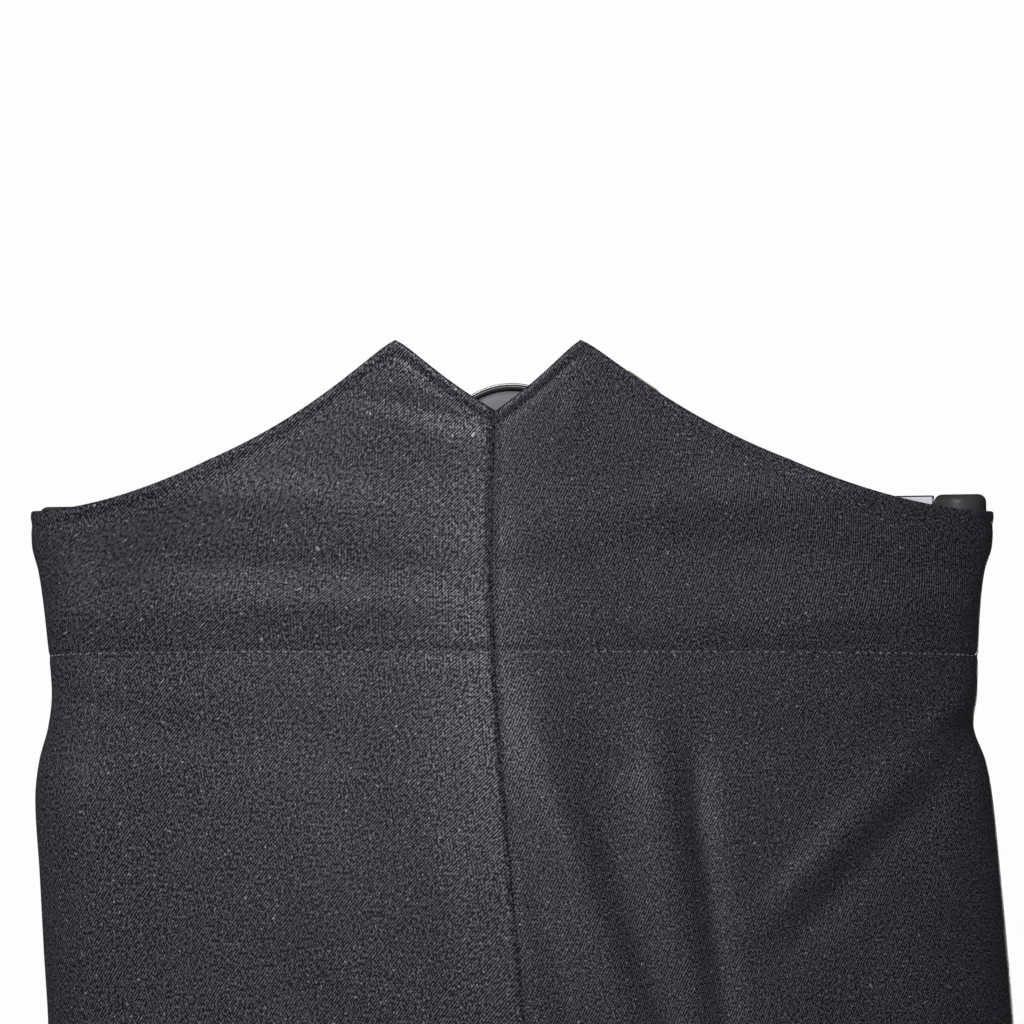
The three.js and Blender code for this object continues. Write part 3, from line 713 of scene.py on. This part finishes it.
# Stitches: pale grey spun polyester, each a short length of thread that rises from the cloth and
# dips back into it. One row holds the facing along the waistline, and each dart shows a few.
THREAD_RADIUS = 0.34 * MM
STITCH_LENGTH = 2.3 * MM
THREAD_SIDES = 6
THREAD_COLUMNS = ("share", "width", "lift")
THREAD_RINGS = (
    (0.0, 0.35, -0.5),
    (0.15, 0.85, 0.05),
    (0.5, 1.0, 0.22),
    (0.85, 0.85, 0.05),
    (1.0, 0.35, -0.5),
)
FIRST_STITCH = 0.4           # share of the pitch
PITCH_SPREAD = 0.08
LENGTH_SPREAD = (0.8, 1.1)
THICKNESS_SPREAD = (0.8, 1.15)
PATH_PROBE = 0.3 * MM        # how far to each side a stitch looks for the row's direction
PLY_SPOT = 1.43 * MM         # coarser than the real plies, which would not show
THREAD_GREY = "#c4c4c8"
THREAD_SHADE = "#7a7a80"
THREAD_SEAT = 0.12 * MM
WAIST_ROW_DROP = 0.25 * MM
DART_SEAT = -0.1 * MM
DART_STEPS = 40
DART_PITCH = STITCH_PITCH * 1.25
PRICK_LENGTH = STITCH_LENGTH * 0.45
sewing_chance = np.random.default_rng(11)


def thread_material(name, pale, dark):
    material, tree, shader = new_material(name)
    place = node(tree, "ShaderNodeTexCoord").outputs["Object"]
    plies = node(tree, "ShaderNodeTexNoise",
        links={"Vector": place, "Scale": 1 / PLY_SPOT, "Detail": 2.0})
    tone = node(tree, "ShaderNodeValToRGB", links={"Fac": plies.outputs["Fac"]})
    tone.color_ramp.elements[0].position, tone.color_ramp.elements[0].color = 0.4, linear(dark)
    tone.color_ramp.elements[1].position, tone.color_ramp.elements[1].color = 0.62, linear(pale)
    tree.links.new(tone.outputs["Color"], shader.inputs["Base Color"])
    bump = node(tree, "ShaderNodeBump",
        links={"Height": plies.outputs["Fac"], "Strength": 0.5, "Distance": 0.1 * MM})
    tree.links.new(bump.outputs["Normal"], shader.inputs["Normal"])
    shader.inputs["Roughness"].default_value = 0.6
    return material


spun_thread = thread_material("spun_thread", THREAD_GREY, THREAD_SHADE)


def stitch_row(name, path, normals, pitch, length, skip=0.0, wander=0.25, thread=spun_thread):
    """One piece that holds every stitch of a row laid along a path on the cloth."""
    run = np.concatenate(([0.0], np.cumsum(np.linalg.norm(np.diff(path, axis=0), axis=1))))

    def spot(distance):
        place = np.array([np.interp(distance, run, path[:, k]) for k in range(3)])
        normal = np.array([np.interp(distance, run, normals[:, k]) for k in range(3)])
        return place, normal / np.linalg.norm(normal)

    vertices, faces = [], []
    distance = FIRST_STITCH * pitch
    while distance + length < run[-1]:
        start = distance + sewing_chance.uniform(-PITCH_SPREAD, PITCH_SPREAD) * pitch
        size = length * sewing_chance.uniform(*LENGTH_SPREAD)
        lean = sewing_chance.uniform(-wander, wander) * MM
        thick = sewing_chance.uniform(*THICKNESS_SPREAD)
        shown = sewing_chance.uniform() >= skip
        distance += pitch
        if not shown:
            continue
        base = len(vertices)
        for row in THREAD_RINGS:
            ring = dict(zip(THREAD_COLUMNS, row))
            here = start + ring["share"] * size
            place, normal = spot(max(here, 0.0))
            along = spot(min(here + PATH_PROBE, run[-1]))[0] - spot(max(here - PATH_PROBE, 0.0))[0]
            beside = np.cross(normal, along / np.linalg.norm(along))
            centre = place + normal * ring["lift"] * MM + beside * lean * (ring["share"] - 0.5)
            radius = THREAD_RADIUS * ring["width"] * thick
            for k in range(THREAD_SIDES):
                turn = 2 * math.pi * k / THREAD_SIDES
                vertices.append(centre + radius * (math.cos(turn) * beside + math.sin(turn) * normal))
        for i in range(len(THREAD_RINGS) - 1):
            first = base + i * THREAD_SIDES
            for k in range(THREAD_SIDES):
                a, b = first + k, first + (k + 1) % THREAD_SIDES
                faces.append((a, b, b + THREAD_SIDES, a + THREAD_SIDES))
        faces.append([base + k for k in reversed(range(THREAD_SIDES))])
        faces.append([len(vertices) - THREAD_SIDES + k for k in range(THREAD_SIDES)])
    mesh = bpy.data.meshes.new(name)
    mesh.from_pydata([tuple(v) for v in vertices], [], faces)
    mesh.polygons.foreach_set("use_smooth", [True] * len(mesh.polygons))
    return lay_piece(name, mesh, thread)


stitches = {key: [] for key in panels}
for key in panels:
    points, normal = surfaces[key][:2]
    row = WAIST_ROW[key[0]]
    path = points[row] + normal[row] * (CLOTH / 2 + THREAD_SEAT) - np.array((0, 0, WAIST_ROW_DROP))
    stitches[key].append(stitch_row(
        f"waist_stitching_{key[0]}_{key[1]}", path[1:-1], normal[row][1:-1],
        STITCH_PITCH, STITCH_LENGTH, skip=0.12))

for values in DARTS:
    dart = dict(zip(DART_COLUMNS, values))
    side = RIGHT if dart["side"] == "right" else LEFT
    heights = np.linspace(dart["z_top"], dart["z_foot"], DART_STEPS) * MM
    xs = np.linspace(dart["x_top"], dart["x_foot"], DART_STEPS) * MM
    reach = np.abs(xs - outline("seam", heights)) / half_width(side, heights)
    column = np.arcsin(reach ** (outline("square", heights) / 2 / MM)) / (math.pi / 2)
    outward = np.tile(np.array((0.0, -1.0, 0.0)), (DART_STEPS, 1))
    path = cloth_point(side, BACK, heights, column) + outward * (CLOTH / 2 + DART_SEAT)
    stitches[("back", dart["side"])].append(stitch_row(
        f"dart_stitching_{dart['side']}", path, outward, DART_PITCH, PRICK_LENGTH, skip=0.35, wander=0.5))


# Sewing of the fly and hems in a dark twist: a J of topstitches on the left front, a worked
# buttonhole under the button, and the small pricks of a blind hem right round both legs.
TWIST_GREY = "#4a4a52"
TWIST_SHADE = "#1a1a1e"
J_REACH = 33 * MM
J_TURN = 30 * MM
J_TOP_Z = -0.034
J_STEPS = 70
J_TURN_STEPS = 24
J_PITCH = STITCH_PITCH * 0.85
HOLE_LENGTH = 24 * MM
HOLE_WIDTH = 2.4 * MM
HOLE_SHIFT = 4 * MM
HOLE_SQUARE = 3              # how straight the slit's two sides run
HOLE_STEPS = 90
HOLE_PITCH = 0.8 * MM
HOLE_STITCH = 0.9 * MM
TWIST_SEAT = 0.1 * MM
HEM_SEAT = -0.12 * MM
HEM_PITCH = STITCH_PITCH * 1.8
dark_twist = thread_material("dark_twist", TWIST_GREY, TWIST_SHADE)


def on_panel(key, reaches, heights):
    """Places and normals on a panel's outer face, at distances from its middle edge and at heights."""
    points, normal, along_row = surfaces[key][:3]
    places, outward = [], []
    for reach, z in zip(reaches, heights):
        above = int(np.clip(np.searchsorted(-points[:, 0, 2], -z), 1, len(points) - 1)) - 1
        share = (points[above, 0, 2] - z) / (points[above, 0, 2] - points[above + 1, 0, 2])
        for source, result in ((points, places), (normal, outward)):
            upper, lower = (
                np.array([np.interp(reach, along_row[i], source[i, :, k]) for k in range(3)])
                for i in (above, above + 1))
            result.append((1 - share) * upper + share * lower)
    outward = np.array(outward)
    return np.array(places) + outward * (CLOTH / 2 + TWIST_SEAT), outward


turn = np.linspace(0, math.pi / 2, J_TURN_STEPS)
j_bend = FLY["foot_z"] + J_TURN
j_heights = np.concatenate((np.linspace(J_TOP_Z, j_bend, J_STEPS), j_bend - J_TURN * np.sin(turn)[1:]))
j_reaches = np.concatenate((np.full(J_STEPS, J_REACH), (J_REACH * np.cos(turn))[1:]))
stitches[("front", "left")].append(stitch_row(
    "fly_topstitching", *on_panel(("front", "left"), j_reaches, j_heights),
    J_PITCH, STITCH_LENGTH, thread=dark_twist))

button_low, button_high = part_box("waist_button")
button_centre = (button_low + button_high) / 2
points, normal, along_row = surfaces[("front", "left")][:3]
gap = np.linalg.norm(points - np.array(button_centre), axis=-1)
under_button = np.unravel_index(int(gap.argmin()), gap.shape)
turn = np.linspace(0, 2 * math.pi, HOLE_STEPS)
hole_reaches = along_row[under_button] + HOLE_SHIFT + HOLE_LENGTH / 2 * np.cos(turn)
hole_heights = points[under_button][2] + HOLE_WIDTH / 2 * np.tanh(HOLE_SQUARE * np.sin(turn))
stitches[("front", "left")].append(stitch_row(
    "buttonhole_stitching", *on_panel(("front", "left"), hole_reaches, hole_heights),
    HOLE_PITCH, HOLE_STITCH, thread=dark_twist))

for key in panels:
    points, normal = surfaces[key][:2]
    row = int(np.abs(points[:, 0, 2] - (HEM_Z + HEM_DEPTH)).argmin())
    path = points[row] + normal[row] * (CLOTH / 2 + HEM_SEAT)
    stitches[key].append(stitch_row(
        f"hem_stitching_{key[0]}_{key[1]}", path[1:-1], normal[row][1:-1],
        HEM_PITCH, PRICK_LENGTH, skip=0.1, wander=0.6, thread=dark_twist))


for key, panel in panels.items():
    points, normal, along_row, along_column = surfaces[key]
for side in (LEFT, RIGHT):
    rows, kept = facing_part(side)
    points, normal, along_row, along_column = surfaces[("back", side["name"])]


# Hanger: a round hub that grips a flat chromed steel bar, with a black rubber pad on each end
# that presses the waist open at the side seams. It hangs a little low on its left.
HANGER_TILT = math.radians(0.8)
HUB_RADIUS = 32.4 * MM
RIM_WALL = 1.1 * MM
RING_WALL = 1.6 * MM
TURN_STEPS = 128


def tilt(point):
    x, y, z = point
    return (x * math.cos(HANGER_TILT) - z * math.sin(HANGER_TILT), y,
            x * math.sin(HANGER_TILT) + z * math.cos(HANGER_TILT))


def hard_piece(name, vertices, faces, material, replaced, slot, smooth_faces=True):
    mesh = bpy.data.meshes.new(name)
    mesh.from_pydata([tuple(v) for v in vertices], [], faces)
    mesh.polygons.foreach_set("use_smooth", [smooth_faces] * len(mesh.polygons))
    lay_piece(name, mesh, material, replaced)


def turned_piece(name, profile, material, replaced, slot):
    """Turns a closed profile of (radius, y) round the hub's axis."""
    vertices, faces = [], []
    count = len(profile)
    for step in range(TURN_STEPS):
        turn = 2 * math.pi * step / TURN_STEPS
        vertices += [tilt((r * math.cos(turn), y, r * math.sin(turn))) for r, y in profile]
    for step in range(TURN_STEPS):
        after = (step + 1) % TURN_STEPS
        for k in range(count):
            b = (k + 1) % count
            faces.append([a * count + c for a, c in ((step, k), (step, b), (after, b), (after, k))])
    hard_piece(name, vertices, faces, material, replaced, slot)


def rounded_profile(inner, outer, y0, y1, radius, steps=4):
    """Ring section with rounded corners, counted round once from the outer corner at y0."""
    corners = ((outer, y0, -1, 1), (outer, y1, -1, -1), (inner, y1, 1, -1), (inner, y0, 1, 1))
    profile = []
    for quarter, (r, y, to_middle, to_centre) in enumerate(corners):
        for k in range(steps + 1):
            turn = (quarter - 1) * math.pi / 2 + math.pi / 2 * k / steps
            across, along = radius * math.cos(turn), radius * math.sin(turn)
            profile.append((r + to_middle * radius + across, y + to_centre * radius + along))
    return profile


# Chromed steel, bright dipped over a polished blank: mirror reflections, a trace of blue, faint
# rub marks. The moulded parts are satin black rubber and matt grey ABS with a fine spark texture
# that keeps highlights broad.
RUB_SPOT = (25 * MM, 1.11 * MM, 1.11 * MM)      # rubbed along the bar, coarser than real marks
CHROME_GREY = "#c9ccd1"
CHROME_PALE = "#dfe1e4"
DUST_SPOT = 22.2 * MM


def chrome_material(name, smoothest, roughest):
    material, tree, shader = new_material(name)
    place = node(tree, "ShaderNodeTexCoord").outputs["Object"]
    rubs = node(tree, "ShaderNodeMapping",
        links={"Vector": place, "Scale": tuple(1 / spot for spot in RUB_SPOT)})
    marks = node(tree, "ShaderNodeTexNoise",
        links={"Vector": rubs.outputs["Vector"], "Scale": 1.0, "Detail": 3.0})
    rough = node(tree, "ShaderNodeMapRange", links={
        "Value": marks.outputs["Fac"], "To Min": smoothest, "To Max": roughest})
    tree.links.new(rough.outputs["Result"], shader.inputs["Roughness"])
    tone = node(tree, "ShaderNodeValToRGB", links={"Fac": marks.outputs["Fac"]})
    tone.color_ramp.elements[0].color = linear(CHROME_GREY)
    tone.color_ramp.elements[1].color = linear(CHROME_PALE)
    tree.links.new(tone.outputs["Color"], shader.inputs["Base Color"])
    shader.inputs["Metallic"].default_value = 1.0
    return material


def moulded_material(name, dark, pale, grain_mm, roughness, relief):
    material, tree, shader = new_material(name)
    place = node(tree, "ShaderNodeTexCoord").outputs["Object"]
    grain = node(tree, "ShaderNodeTexNoise",
        links={"Vector": place, "Scale": 1 / (grain_mm * MM), "Detail": 3.0})
    dust = node(tree, "ShaderNodeTexNoise",
        links={"Vector": place, "Scale": 1 / DUST_SPOT, "Detail": 4.0})
    blend = node(tree, "ShaderNodeMath",
        {"operation": "MULTIPLY"}, {0: grain.outputs["Fac"], 1: dust.outputs["Fac"]})
    tone = node(tree, "ShaderNodeValToRGB", links={"Fac": blend.outputs[0]})
    tone.color_ramp.elements[0].position, tone.color_ramp.elements[0].color = 0.1, linear(dark)
    tone.color_ramp.elements[1].position, tone.color_ramp.elements[1].color = 0.45, linear(pale)
    tree.links.new(tone.outputs["Color"], shader.inputs["Base Color"])
    rough = node(tree, "ShaderNodeMapRange", links={
        "Value": dust.outputs["Fac"], "To Min": roughness - 0.08, "To Max": roughness + 0.1})
    tree.links.new(rough.outputs["Result"], shader.inputs["Roughness"])
    bump = node(tree, "ShaderNodeBump",
        links={"Height": grain.outputs["Fac"], "Strength": relief, "Distance": 0.1 * MM})
    tree.links.new(bump.outputs["Normal"], shader.inputs["Normal"])
    return material


chromed_steel = chrome_material("chromed_steel", smoothest=0.08, roughest=0.24)
satin_chrome = chrome_material("satin_chrome", smoothest=0.4, roughest=0.52)
ring_rubber = moulded_material(
    "ring_rubber", dark="#0b0b0c", pale="#161618", grain_mm=0.5, roughness=0.6, relief=0.1)
satin_rubber = moulded_material(
    "satin_rubber", dark="#4c4c4d", pale="#6c6c6d", grain_mm=0.5, roughness=0.42, relief=0.15)
grey_abs = moulded_material(
    "moulded_abs", dark="#8a8b8e", pale="#b6b8ba", grain_mm=0.4, roughness=0.5, relief=0.3)

# The hub: a rim, a rubber ring and a cap inside one another, and a boss behind the cap.
RIM_ROUNDING = 0.5 * MM
RING_ROUNDING = 0.6 * MM
RING_SET_BACK = 0.8 * MM
CAP_SET_BACK = 0.4 * MM
CAP_COLUMNS = ("radius_share", "sunk_mm")     # the face dips in the middle and falls at its edge
CAP_FACE = (
    (0.3, 1.6), (0.34, 1.2), (0.4, 0.5), (0.5, 0.07), (0.6, 0.14), (0.7, 0.26), (0.8, 0.45),
    (0.88, 0.66), (0.94, 0.86), (0.985, 1.3), (1.0, 1.9),
)
BOSS_ROUNDING = 0.9 * MM
AXIS_HOLE = 0.02 * MM        # a turned profile stops just short of the axis

hub_low, hub_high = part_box("hub_rim")
rim_profile = rounded_profile(HUB_RADIUS - RIM_WALL, HUB_RADIUS, hub_low.y, hub_high.y, RIM_ROUNDING)
turned_piece("hub_rim_turned", rim_profile, satin_chrome, "hub_rim", "chromed_steel")

ring_outer = HUB_RADIUS - RIM_WALL - SEAM_GAP
ring_inner = ring_outer - RING_WALL
ring_profile = rounded_profile(
    ring_inner, ring_outer, hub_low.y + RING_SET_BACK, hub_high.y, RING_ROUNDING)
turned_piece("hub_ring_moulded", ring_profile, ring_rubber, "hub_ring", "black_rubber")

cap_outer, cap_face = ring_inner - SEAM_GAP, hub_low.y + CAP_SET_BACK
cap_profile = [(AXIS_HOLE, hub_high.y), (AXIS_HOLE, cap_face + CAP_FACE[0][1] * MM)]
for row in CAP_FACE:
    station = dict(zip(CAP_COLUMNS, row))
    cap_profile.append((cap_outer * station["radius_share"], cap_face + station["sunk_mm"] * MM))
cap_profile.append((cap_outer, hub_high.y))
turned_piece("hub_cap_moulded", cap_profile, grey_abs, "hub_cap", "grey_plastic")

boss_low, boss_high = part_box("hub_boss")
boss_radius = (boss_high.x - boss_low.x) / 2
boss_profile = rounded_profile(AXIS_HOLE, boss_radius, boss_low.y, boss_high.y, BOSS_ROUNDING)
boss_profile = boss_profile[:len(boss_profile) // 2]
boss_profile += [(AXIS_HOLE, boss_high.y), (AXIS_HOLE, boss_low.y)]
turned_piece("hub_boss_moulded", boss_profile, grey_abs, "hub_boss", "grey_plastic")


def rounded_rectangle(width, depth, radius, steps=6):
    points = []
    for sx, sy, start in ((1, -1, -math.pi / 2), (1, 1, 0), (-1, 1, math.pi / 2), (-1, -1, math.pi)):
        for k in range(steps + 1):
            turn = start + math.pi / 2 * k / steps
            points.append((sx * (width / 2 - radius) + radius * math.cos(turn),
                           sy * (depth / 2 - radius) + radius * math.sin(turn)))
    return points


def loft(sections):
    """Closed skin over rings of equal count, capped at both ends."""
    count = len(sections[0])
    vertices = [tilt(p) for ring in sections for p in ring]
    faces = [[k for k in reversed(range(count))]]
    for i in range(len(sections) - 1):
        for k in range(count):
            b = (k + 1) % count
            faces.append((i * count + k, i * count + b, (i + 1) * count + b, (i + 1) * count + k))
    faces.append([(len(sections) - 1) * count + k for k in range(count)])
    return vertices, faces


# End pads and bar: two moulded rubber blocks with rounded edges on the ends of the flat bar. They
# are drawn level, as their solids are, and take the hanger's tilt with the rest.
BAR_HEIGHT = 13.4 * MM
BAR_THICKNESS = 5 * MM
BAR_CORNER = 0.6 * MM
BAR_END_TAPER = 0.6 * MM
BAR_Z = -23.6 * MM
PAD_WIDTH = 21.4 * MM
PAD_DEPTH = 27 * MM
PAD_HEIGHT = 22 * MM
PAD_TOP = -16.6 * MM
PAD_CORNER = 10 * MM
PAD_BEVEL = 3.5 * MM
PAD_BEVEL_STEPS = 6
PAD_CLEARANCE = 1.7 * MM

bevel_turns = [math.pi / 2 * k / PAD_BEVEL_STEPS for k in range(PAD_BEVEL_STEPS + 1)]
bevel = [(PAD_BEVEL * (1 - math.sin(turn)), PAD_BEVEL * (1 - math.cos(turn))) for turn in bevel_turns]
pad_levels = [(inset, PAD_TOP - PAD_HEIGHT + rise) for inset, rise in bevel]
pad_levels += [(inset, PAD_TOP - drop) for drop, inset in bevel]
ends = {}
for side in (LEFT, RIGHT):
    inner_half = half_width(side, PAD_TOP) - CLOTH / 2 - PAD_CLEARANCE
    outer = float(side["sign"] * inner_half + outline("seam", PAD_TOP))
    ends[side["name"]] = outer - side["sign"] * PAD_WIDTH
    middle = outer - side["sign"] * PAD_WIDTH / 2
    sections = []
    for inset, z in pad_levels:
        ring = rounded_rectangle(PAD_WIDTH - 2 * inset, PAD_DEPTH - 2 * inset, PAD_CORNER - inset)
        sections.append([(middle + x, SIDE_SEAM_Y + y, z) for x, y in ring])
    name = f"end_pad_{side['name']}"
    hard_piece(name + "_moulded", *loft(sections), satin_rubber, name, "black_rubber")

bar_start, bar_end = ends["left"] + SEAM_GAP, ends["right"] - SEAM_GAP
bar_stations = (
    (bar_start, BAR_END_TAPER), (bar_start + MM, 0), (bar_end - MM, 0), (bar_end, BAR_END_TAPER))
bar_sections = []
for x, shrink in bar_stations:
    ring = rounded_rectangle(BAR_THICKNESS - shrink, BAR_HEIGHT - shrink, BAR_CORNER, 4)
    bar_sections.append([(x, SIDE_SEAM_Y + y, BAR_Z + z) for y, z in ring])
hard_piece("hanger_bar_chromed", *loft(bar_sections), chromed_steel, "hanger_bar", "chromed_steel",
           smooth_faces=False)


# Button: dark polished resin made to look like horn, turned with a raised rim. It sits on the
# left front and is sewn through with two bars of the dark twist.
BUTTON_SWIRL = 6.25 * MM
BUTTON_DARK = "#191512"
BUTTON_BROWN = "#3a2f27"


def resin_material():
    material, tree, shader = new_material("horn_resin")
    place = node(tree, "ShaderNodeTexCoord").outputs["Object"]
    swirl = node(tree, "ShaderNodeTexNoise",
        links={"Vector": place, "Scale": 1 / BUTTON_SWIRL, "Detail": 4.0, "Distortion": 1.5})
    tone = node(tree, "ShaderNodeValToRGB", links={"Fac": swirl.outputs["Fac"]})
    tone.color_ramp.elements[0].position, tone.color_ramp.elements[0].color = 0.42, linear(BUTTON_DARK)
    tone.color_ramp.elements[1].position, tone.color_ramp.elements[1].color = 0.7, linear(BUTTON_BROWN)
    tree.links.new(tone.outputs["Color"], shader.inputs["Base Color"])
    shader.inputs["Roughness"].default_value = 0.28
    return material


horn_resin = resin_material()
BUTTON_COLUMNS = ("radius", "height")         # from the middle of the back round to the front's
BUTTON_PROFILE = (
    (0.0, 0.0), (7.4, 0.0), (8.1, 0.3), (8.5, 1.0), (8.5, 2.0), (8.2, 2.6), (7.5, 2.9), (6.8, 2.9),
    (6.1, 2.6), (5.5, 2.2), (0.0, 2.1),
)
BUTTON_STEPS = 48
BUTTON_STAND = 0.9 * MM
THREAD_BARS = (-1.3, 1.3)                     # millimetres from the middle, and above the back
THREAD_BAR_LEVEL = 2.4
THREAD_BAR_HALF = 4
THREAD_BAR_STEPS = 12
THREAD_BAR_PITCH = 5.2 * MM
THREAD_BAR_LENGTH = 3.4 * MM

points, normal = surfaces[("front", "left")][:2]
axis = Vector(normal[under_button])
seat = Vector(points[under_button] + normal[under_button] * (CLOTH / 2 + BUTTON_STAND))
facing_out = axis.to_track_quat("Z", "Y")


def on_button(x, y, height):
    return seat + facing_out @ Vector((x, y, height)) * MM


vertices, faces = [], []
count, last = len(BUTTON_PROFILE) - 2, BUTTON_STEPS * (len(BUTTON_PROFILE) - 2)
for step in range(BUTTON_STEPS):
    turn = 2 * math.pi * step / BUTTON_STEPS
    for row in BUTTON_PROFILE[1:-1]:
        station = dict(zip(BUTTON_COLUMNS, row))
        r = station["radius"]
        vertices.append(on_button(r * math.cos(turn), r * math.sin(turn), station["height"]))
vertices += [seat, on_button(0, 0, BUTTON_PROFILE[-1][1])]
for step in range(BUTTON_STEPS):
    here, after = step * count, (step + 1) % BUTTON_STEPS * count
    faces += [(here + k, after + k, after + k + 1, here + k + 1) for k in range(count - 1)]
    faces += [(after, here, last), (here + count - 1, after + count - 1, last + 1)]
hard_piece("waist_button_turned", vertices, faces, horn_resin, "waist_button", "horn_button")

for number, offset in enumerate(THREAD_BARS):
    xs = np.linspace(-THREAD_BAR_HALF, THREAD_BAR_HALF, THREAD_BAR_STEPS)
    path = np.array([on_button(x, offset, THREAD_BAR_LEVEL) for x in xs])
    stitch_row(f"button_thread_{number + 1}", path, np.tile(np.array(axis), (len(path), 1)),
               THREAD_BAR_PITCH, THREAD_BAR_LENGTH, wander=0.1, thread=dark_twist)


# Fly underlap: a strip of the same wool twill behind the opening of the fronts. It follows the
# inside of both and hangs free below the waist stitching.
UNDERLAP_FOOT_Z = -0.215
UNDERLAP_ON_LEFT = 20 * MM
UNDERLAP_ON_RIGHT = 35 * MM
UNDERLAP_TOP_ROW = 3
UNDERLAP_LEVEL_ROW = 30      # the row along which its width is measured

left_points, left_normal, left_row, left_column = surfaces[("front", "left")]
right_points, right_normal, right_row = surfaces[("front", "right")][:3]
rows = slice(UNDERLAP_TOP_ROW, int(np.argmax(left_points[:, 0, 2] < UNDERLAP_FOOT_Z)))
left_kept = int(np.searchsorted(left_row[UNDERLAP_LEVEL_ROW], UNDERLAP_ON_LEFT))
right_kept = int(np.searchsorted(right_row[UNDERLAP_LEVEL_ROW], UNDERLAP_ON_RIGHT))
points, normal = (
    np.concatenate((left[rows, left_kept:0:-1], right[rows, 1:right_kept]), axis=1)
    for left, right in ((left_points, right_points), (left_normal, right_normal)))
across = lengths_along(points, 1)
down = np.broadcast_to(left_column[rows, :1], across.shape)
near = points - normal * (CLOTH / 2 + LAYER_GAP)
underlap = cloth_wall(
    "fly_underlap_cloth", near, near - normal * FACING, (across, down), wool_twill)


# Studio: a plain pale painted floor under white surroundings. Soft lamps stand above and to the
# left of the viewer, a white card beside the camera lights the chrome, and a fill the fronts.
FLOOR_Z = HEM_Z - 0.06
FLOOR_REACH = 6
FLOOR_MOTTLES = 3.0          # pale spots across the floor
FLOOR_GREY = "#e6e6e6"
FLOOR_PALE = "#efefef"
FLOOR_GLOW = 0.72            # keeps the floor pale where no lamp reaches it
WHITE = (1, 1, 1, 1)
WORLD_SEEN = 0.985
WORLD_LIGHT = 0.03
LAMP_TINT = (0.99, 0.965, 1.03)
SEAT_AIM = (0, -0.05, -0.1)
LAMP_COLUMNS = ("name", "place", "target", "size", "power")
LAMPS = (
    ("key", (-0.135, -1.01, 0.416), SEAT_AIM, 0.2, 4.0),
    ("key_left", (-0.62, -1.32, 0.65), SEAT_AIM, 0.3, 2.0),
    ("side", (-1.51, -0.455, 0.233), SEAT_AIM, 0.3, 1.75),
    ("card", (0.34, -2.35, 0.0), (0, 0, 0), 0.55, 0.8),
    ("front_fill", (0.5, 1.9, -0.5), (0, 0.05, -0.5), 0.8, 16.0),
)

painted, tree, shader = new_material("floor_paint")
mottle = node(tree, "ShaderNodeTexNoise", links={"Scale": FLOOR_MOTTLES, "Detail": 2.0})
tone = node(tree, "ShaderNodeValToRGB", links={"Fac": mottle.outputs["Fac"]})
tone.color_ramp.elements[0].color = linear(FLOOR_GREY)
tone.color_ramp.elements[1].color = linear(FLOOR_PALE)
tree.links.new(tone.outputs["Color"], shader.inputs["Base Color"])
shader.inputs["Roughness"].default_value = 0.8
tree.links.new(tone.outputs["Color"], shader.inputs["Emission Color"])
seen = node(tree, "ShaderNodeLightPath").outputs["Is Camera Ray"]
glow = node(tree, "ShaderNodeMath", {"operation": "MULTIPLY"}, {0: seen, 1: FLOOR_GLOW})
tree.links.new(glow.outputs[0], shader.inputs["Emission Strength"])

floor_mesh = bpy.data.meshes.new("floor")
corners = [(x * FLOOR_REACH, y * FLOOR_REACH, FLOOR_Z) for x, y in ((-1, -1), (1, -1), (1, 1), (-1, 1))]
floor_mesh.from_pydata(corners, [], [(0, 1, 2, 3)])
floor_mesh.materials.append(painted)
floor = bpy.data.objects.new("floor", floor_mesh)
bpy.context.collection.objects.link(floor)

world = bpy.data.worlds.new("studio")
bpy.context.scene.world = world
world.use_nodes = True
tree = world.node_tree
tree.nodes.clear()
seen = node(tree, "ShaderNodeBackground", links={"Color": WHITE, "Strength": WORLD_SEEN})
lit = node(tree, "ShaderNodeBackground", links={"Color": WHITE, "Strength": WORLD_LIGHT})
path = node(tree, "ShaderNodeLightPath")
mixed = node(tree, "ShaderNodeMixShader",
    links={0: path.outputs["Is Camera Ray"], 1: lit.outputs[0], 2: seen.outputs[0]})
node(tree, "ShaderNodeOutputWorld", links={"Surface": mixed.outputs[0]})

for row in LAMPS:
    lamp = dict(zip(LAMP_COLUMNS, row))
    light = bpy.data.lights.new(lamp["name"], "AREA")
    light.color = LAMP_TINT
    light.shape, light.size, light.energy = "DISK", lamp["size"], lamp["power"]
    hung = bpy.data.objects.new(lamp["name"], light)
    bpy.context.collection.objects.link(hung)
    hung.location = lamp["place"]
    aim = Vector(lamp["target"]) - Vector(lamp["place"])
    hung.rotation_euler = aim.to_track_quat("-Z", "Y").to_euler()

# Camera: straight behind the garment and level with its waist, far off on a long lens. The photo
# is 1024 pixels wide, and one pixel covers 0.42 mm in the plane of the side seams.
PHOTO_PIXELS = 1024
HUB_ABOVE_MIDDLE_PIXELS = 51
PIXEL = 0.42 * MM
CAMERA_DISTANCE = 2.3
CAMERA_REACH = 60
SENSOR_MM = 36.0
camera_data = bpy.data.cameras.new("camera")
camera = bpy.data.objects.new("camera", camera_data)
bpy.context.collection.objects.link(camera)
bpy.context.scene.camera = camera
camera.location = (0, -CAMERA_DISTANCE, -HUB_ABOVE_MIDDLE_PIXELS * PIXEL)
camera.rotation_euler = (math.pi / 2, 0, 0)
camera_data.sensor_width = SENSOR_MM
camera_data.lens = SENSOR_MM * (CAMERA_DISTANCE + SIDE_SEAM_Y) / (PHOTO_PIXELS * PIXEL)
camera_data.clip_end = CAMERA_REACH
bpy.context.scene.view_settings.view_transform = "Standard"
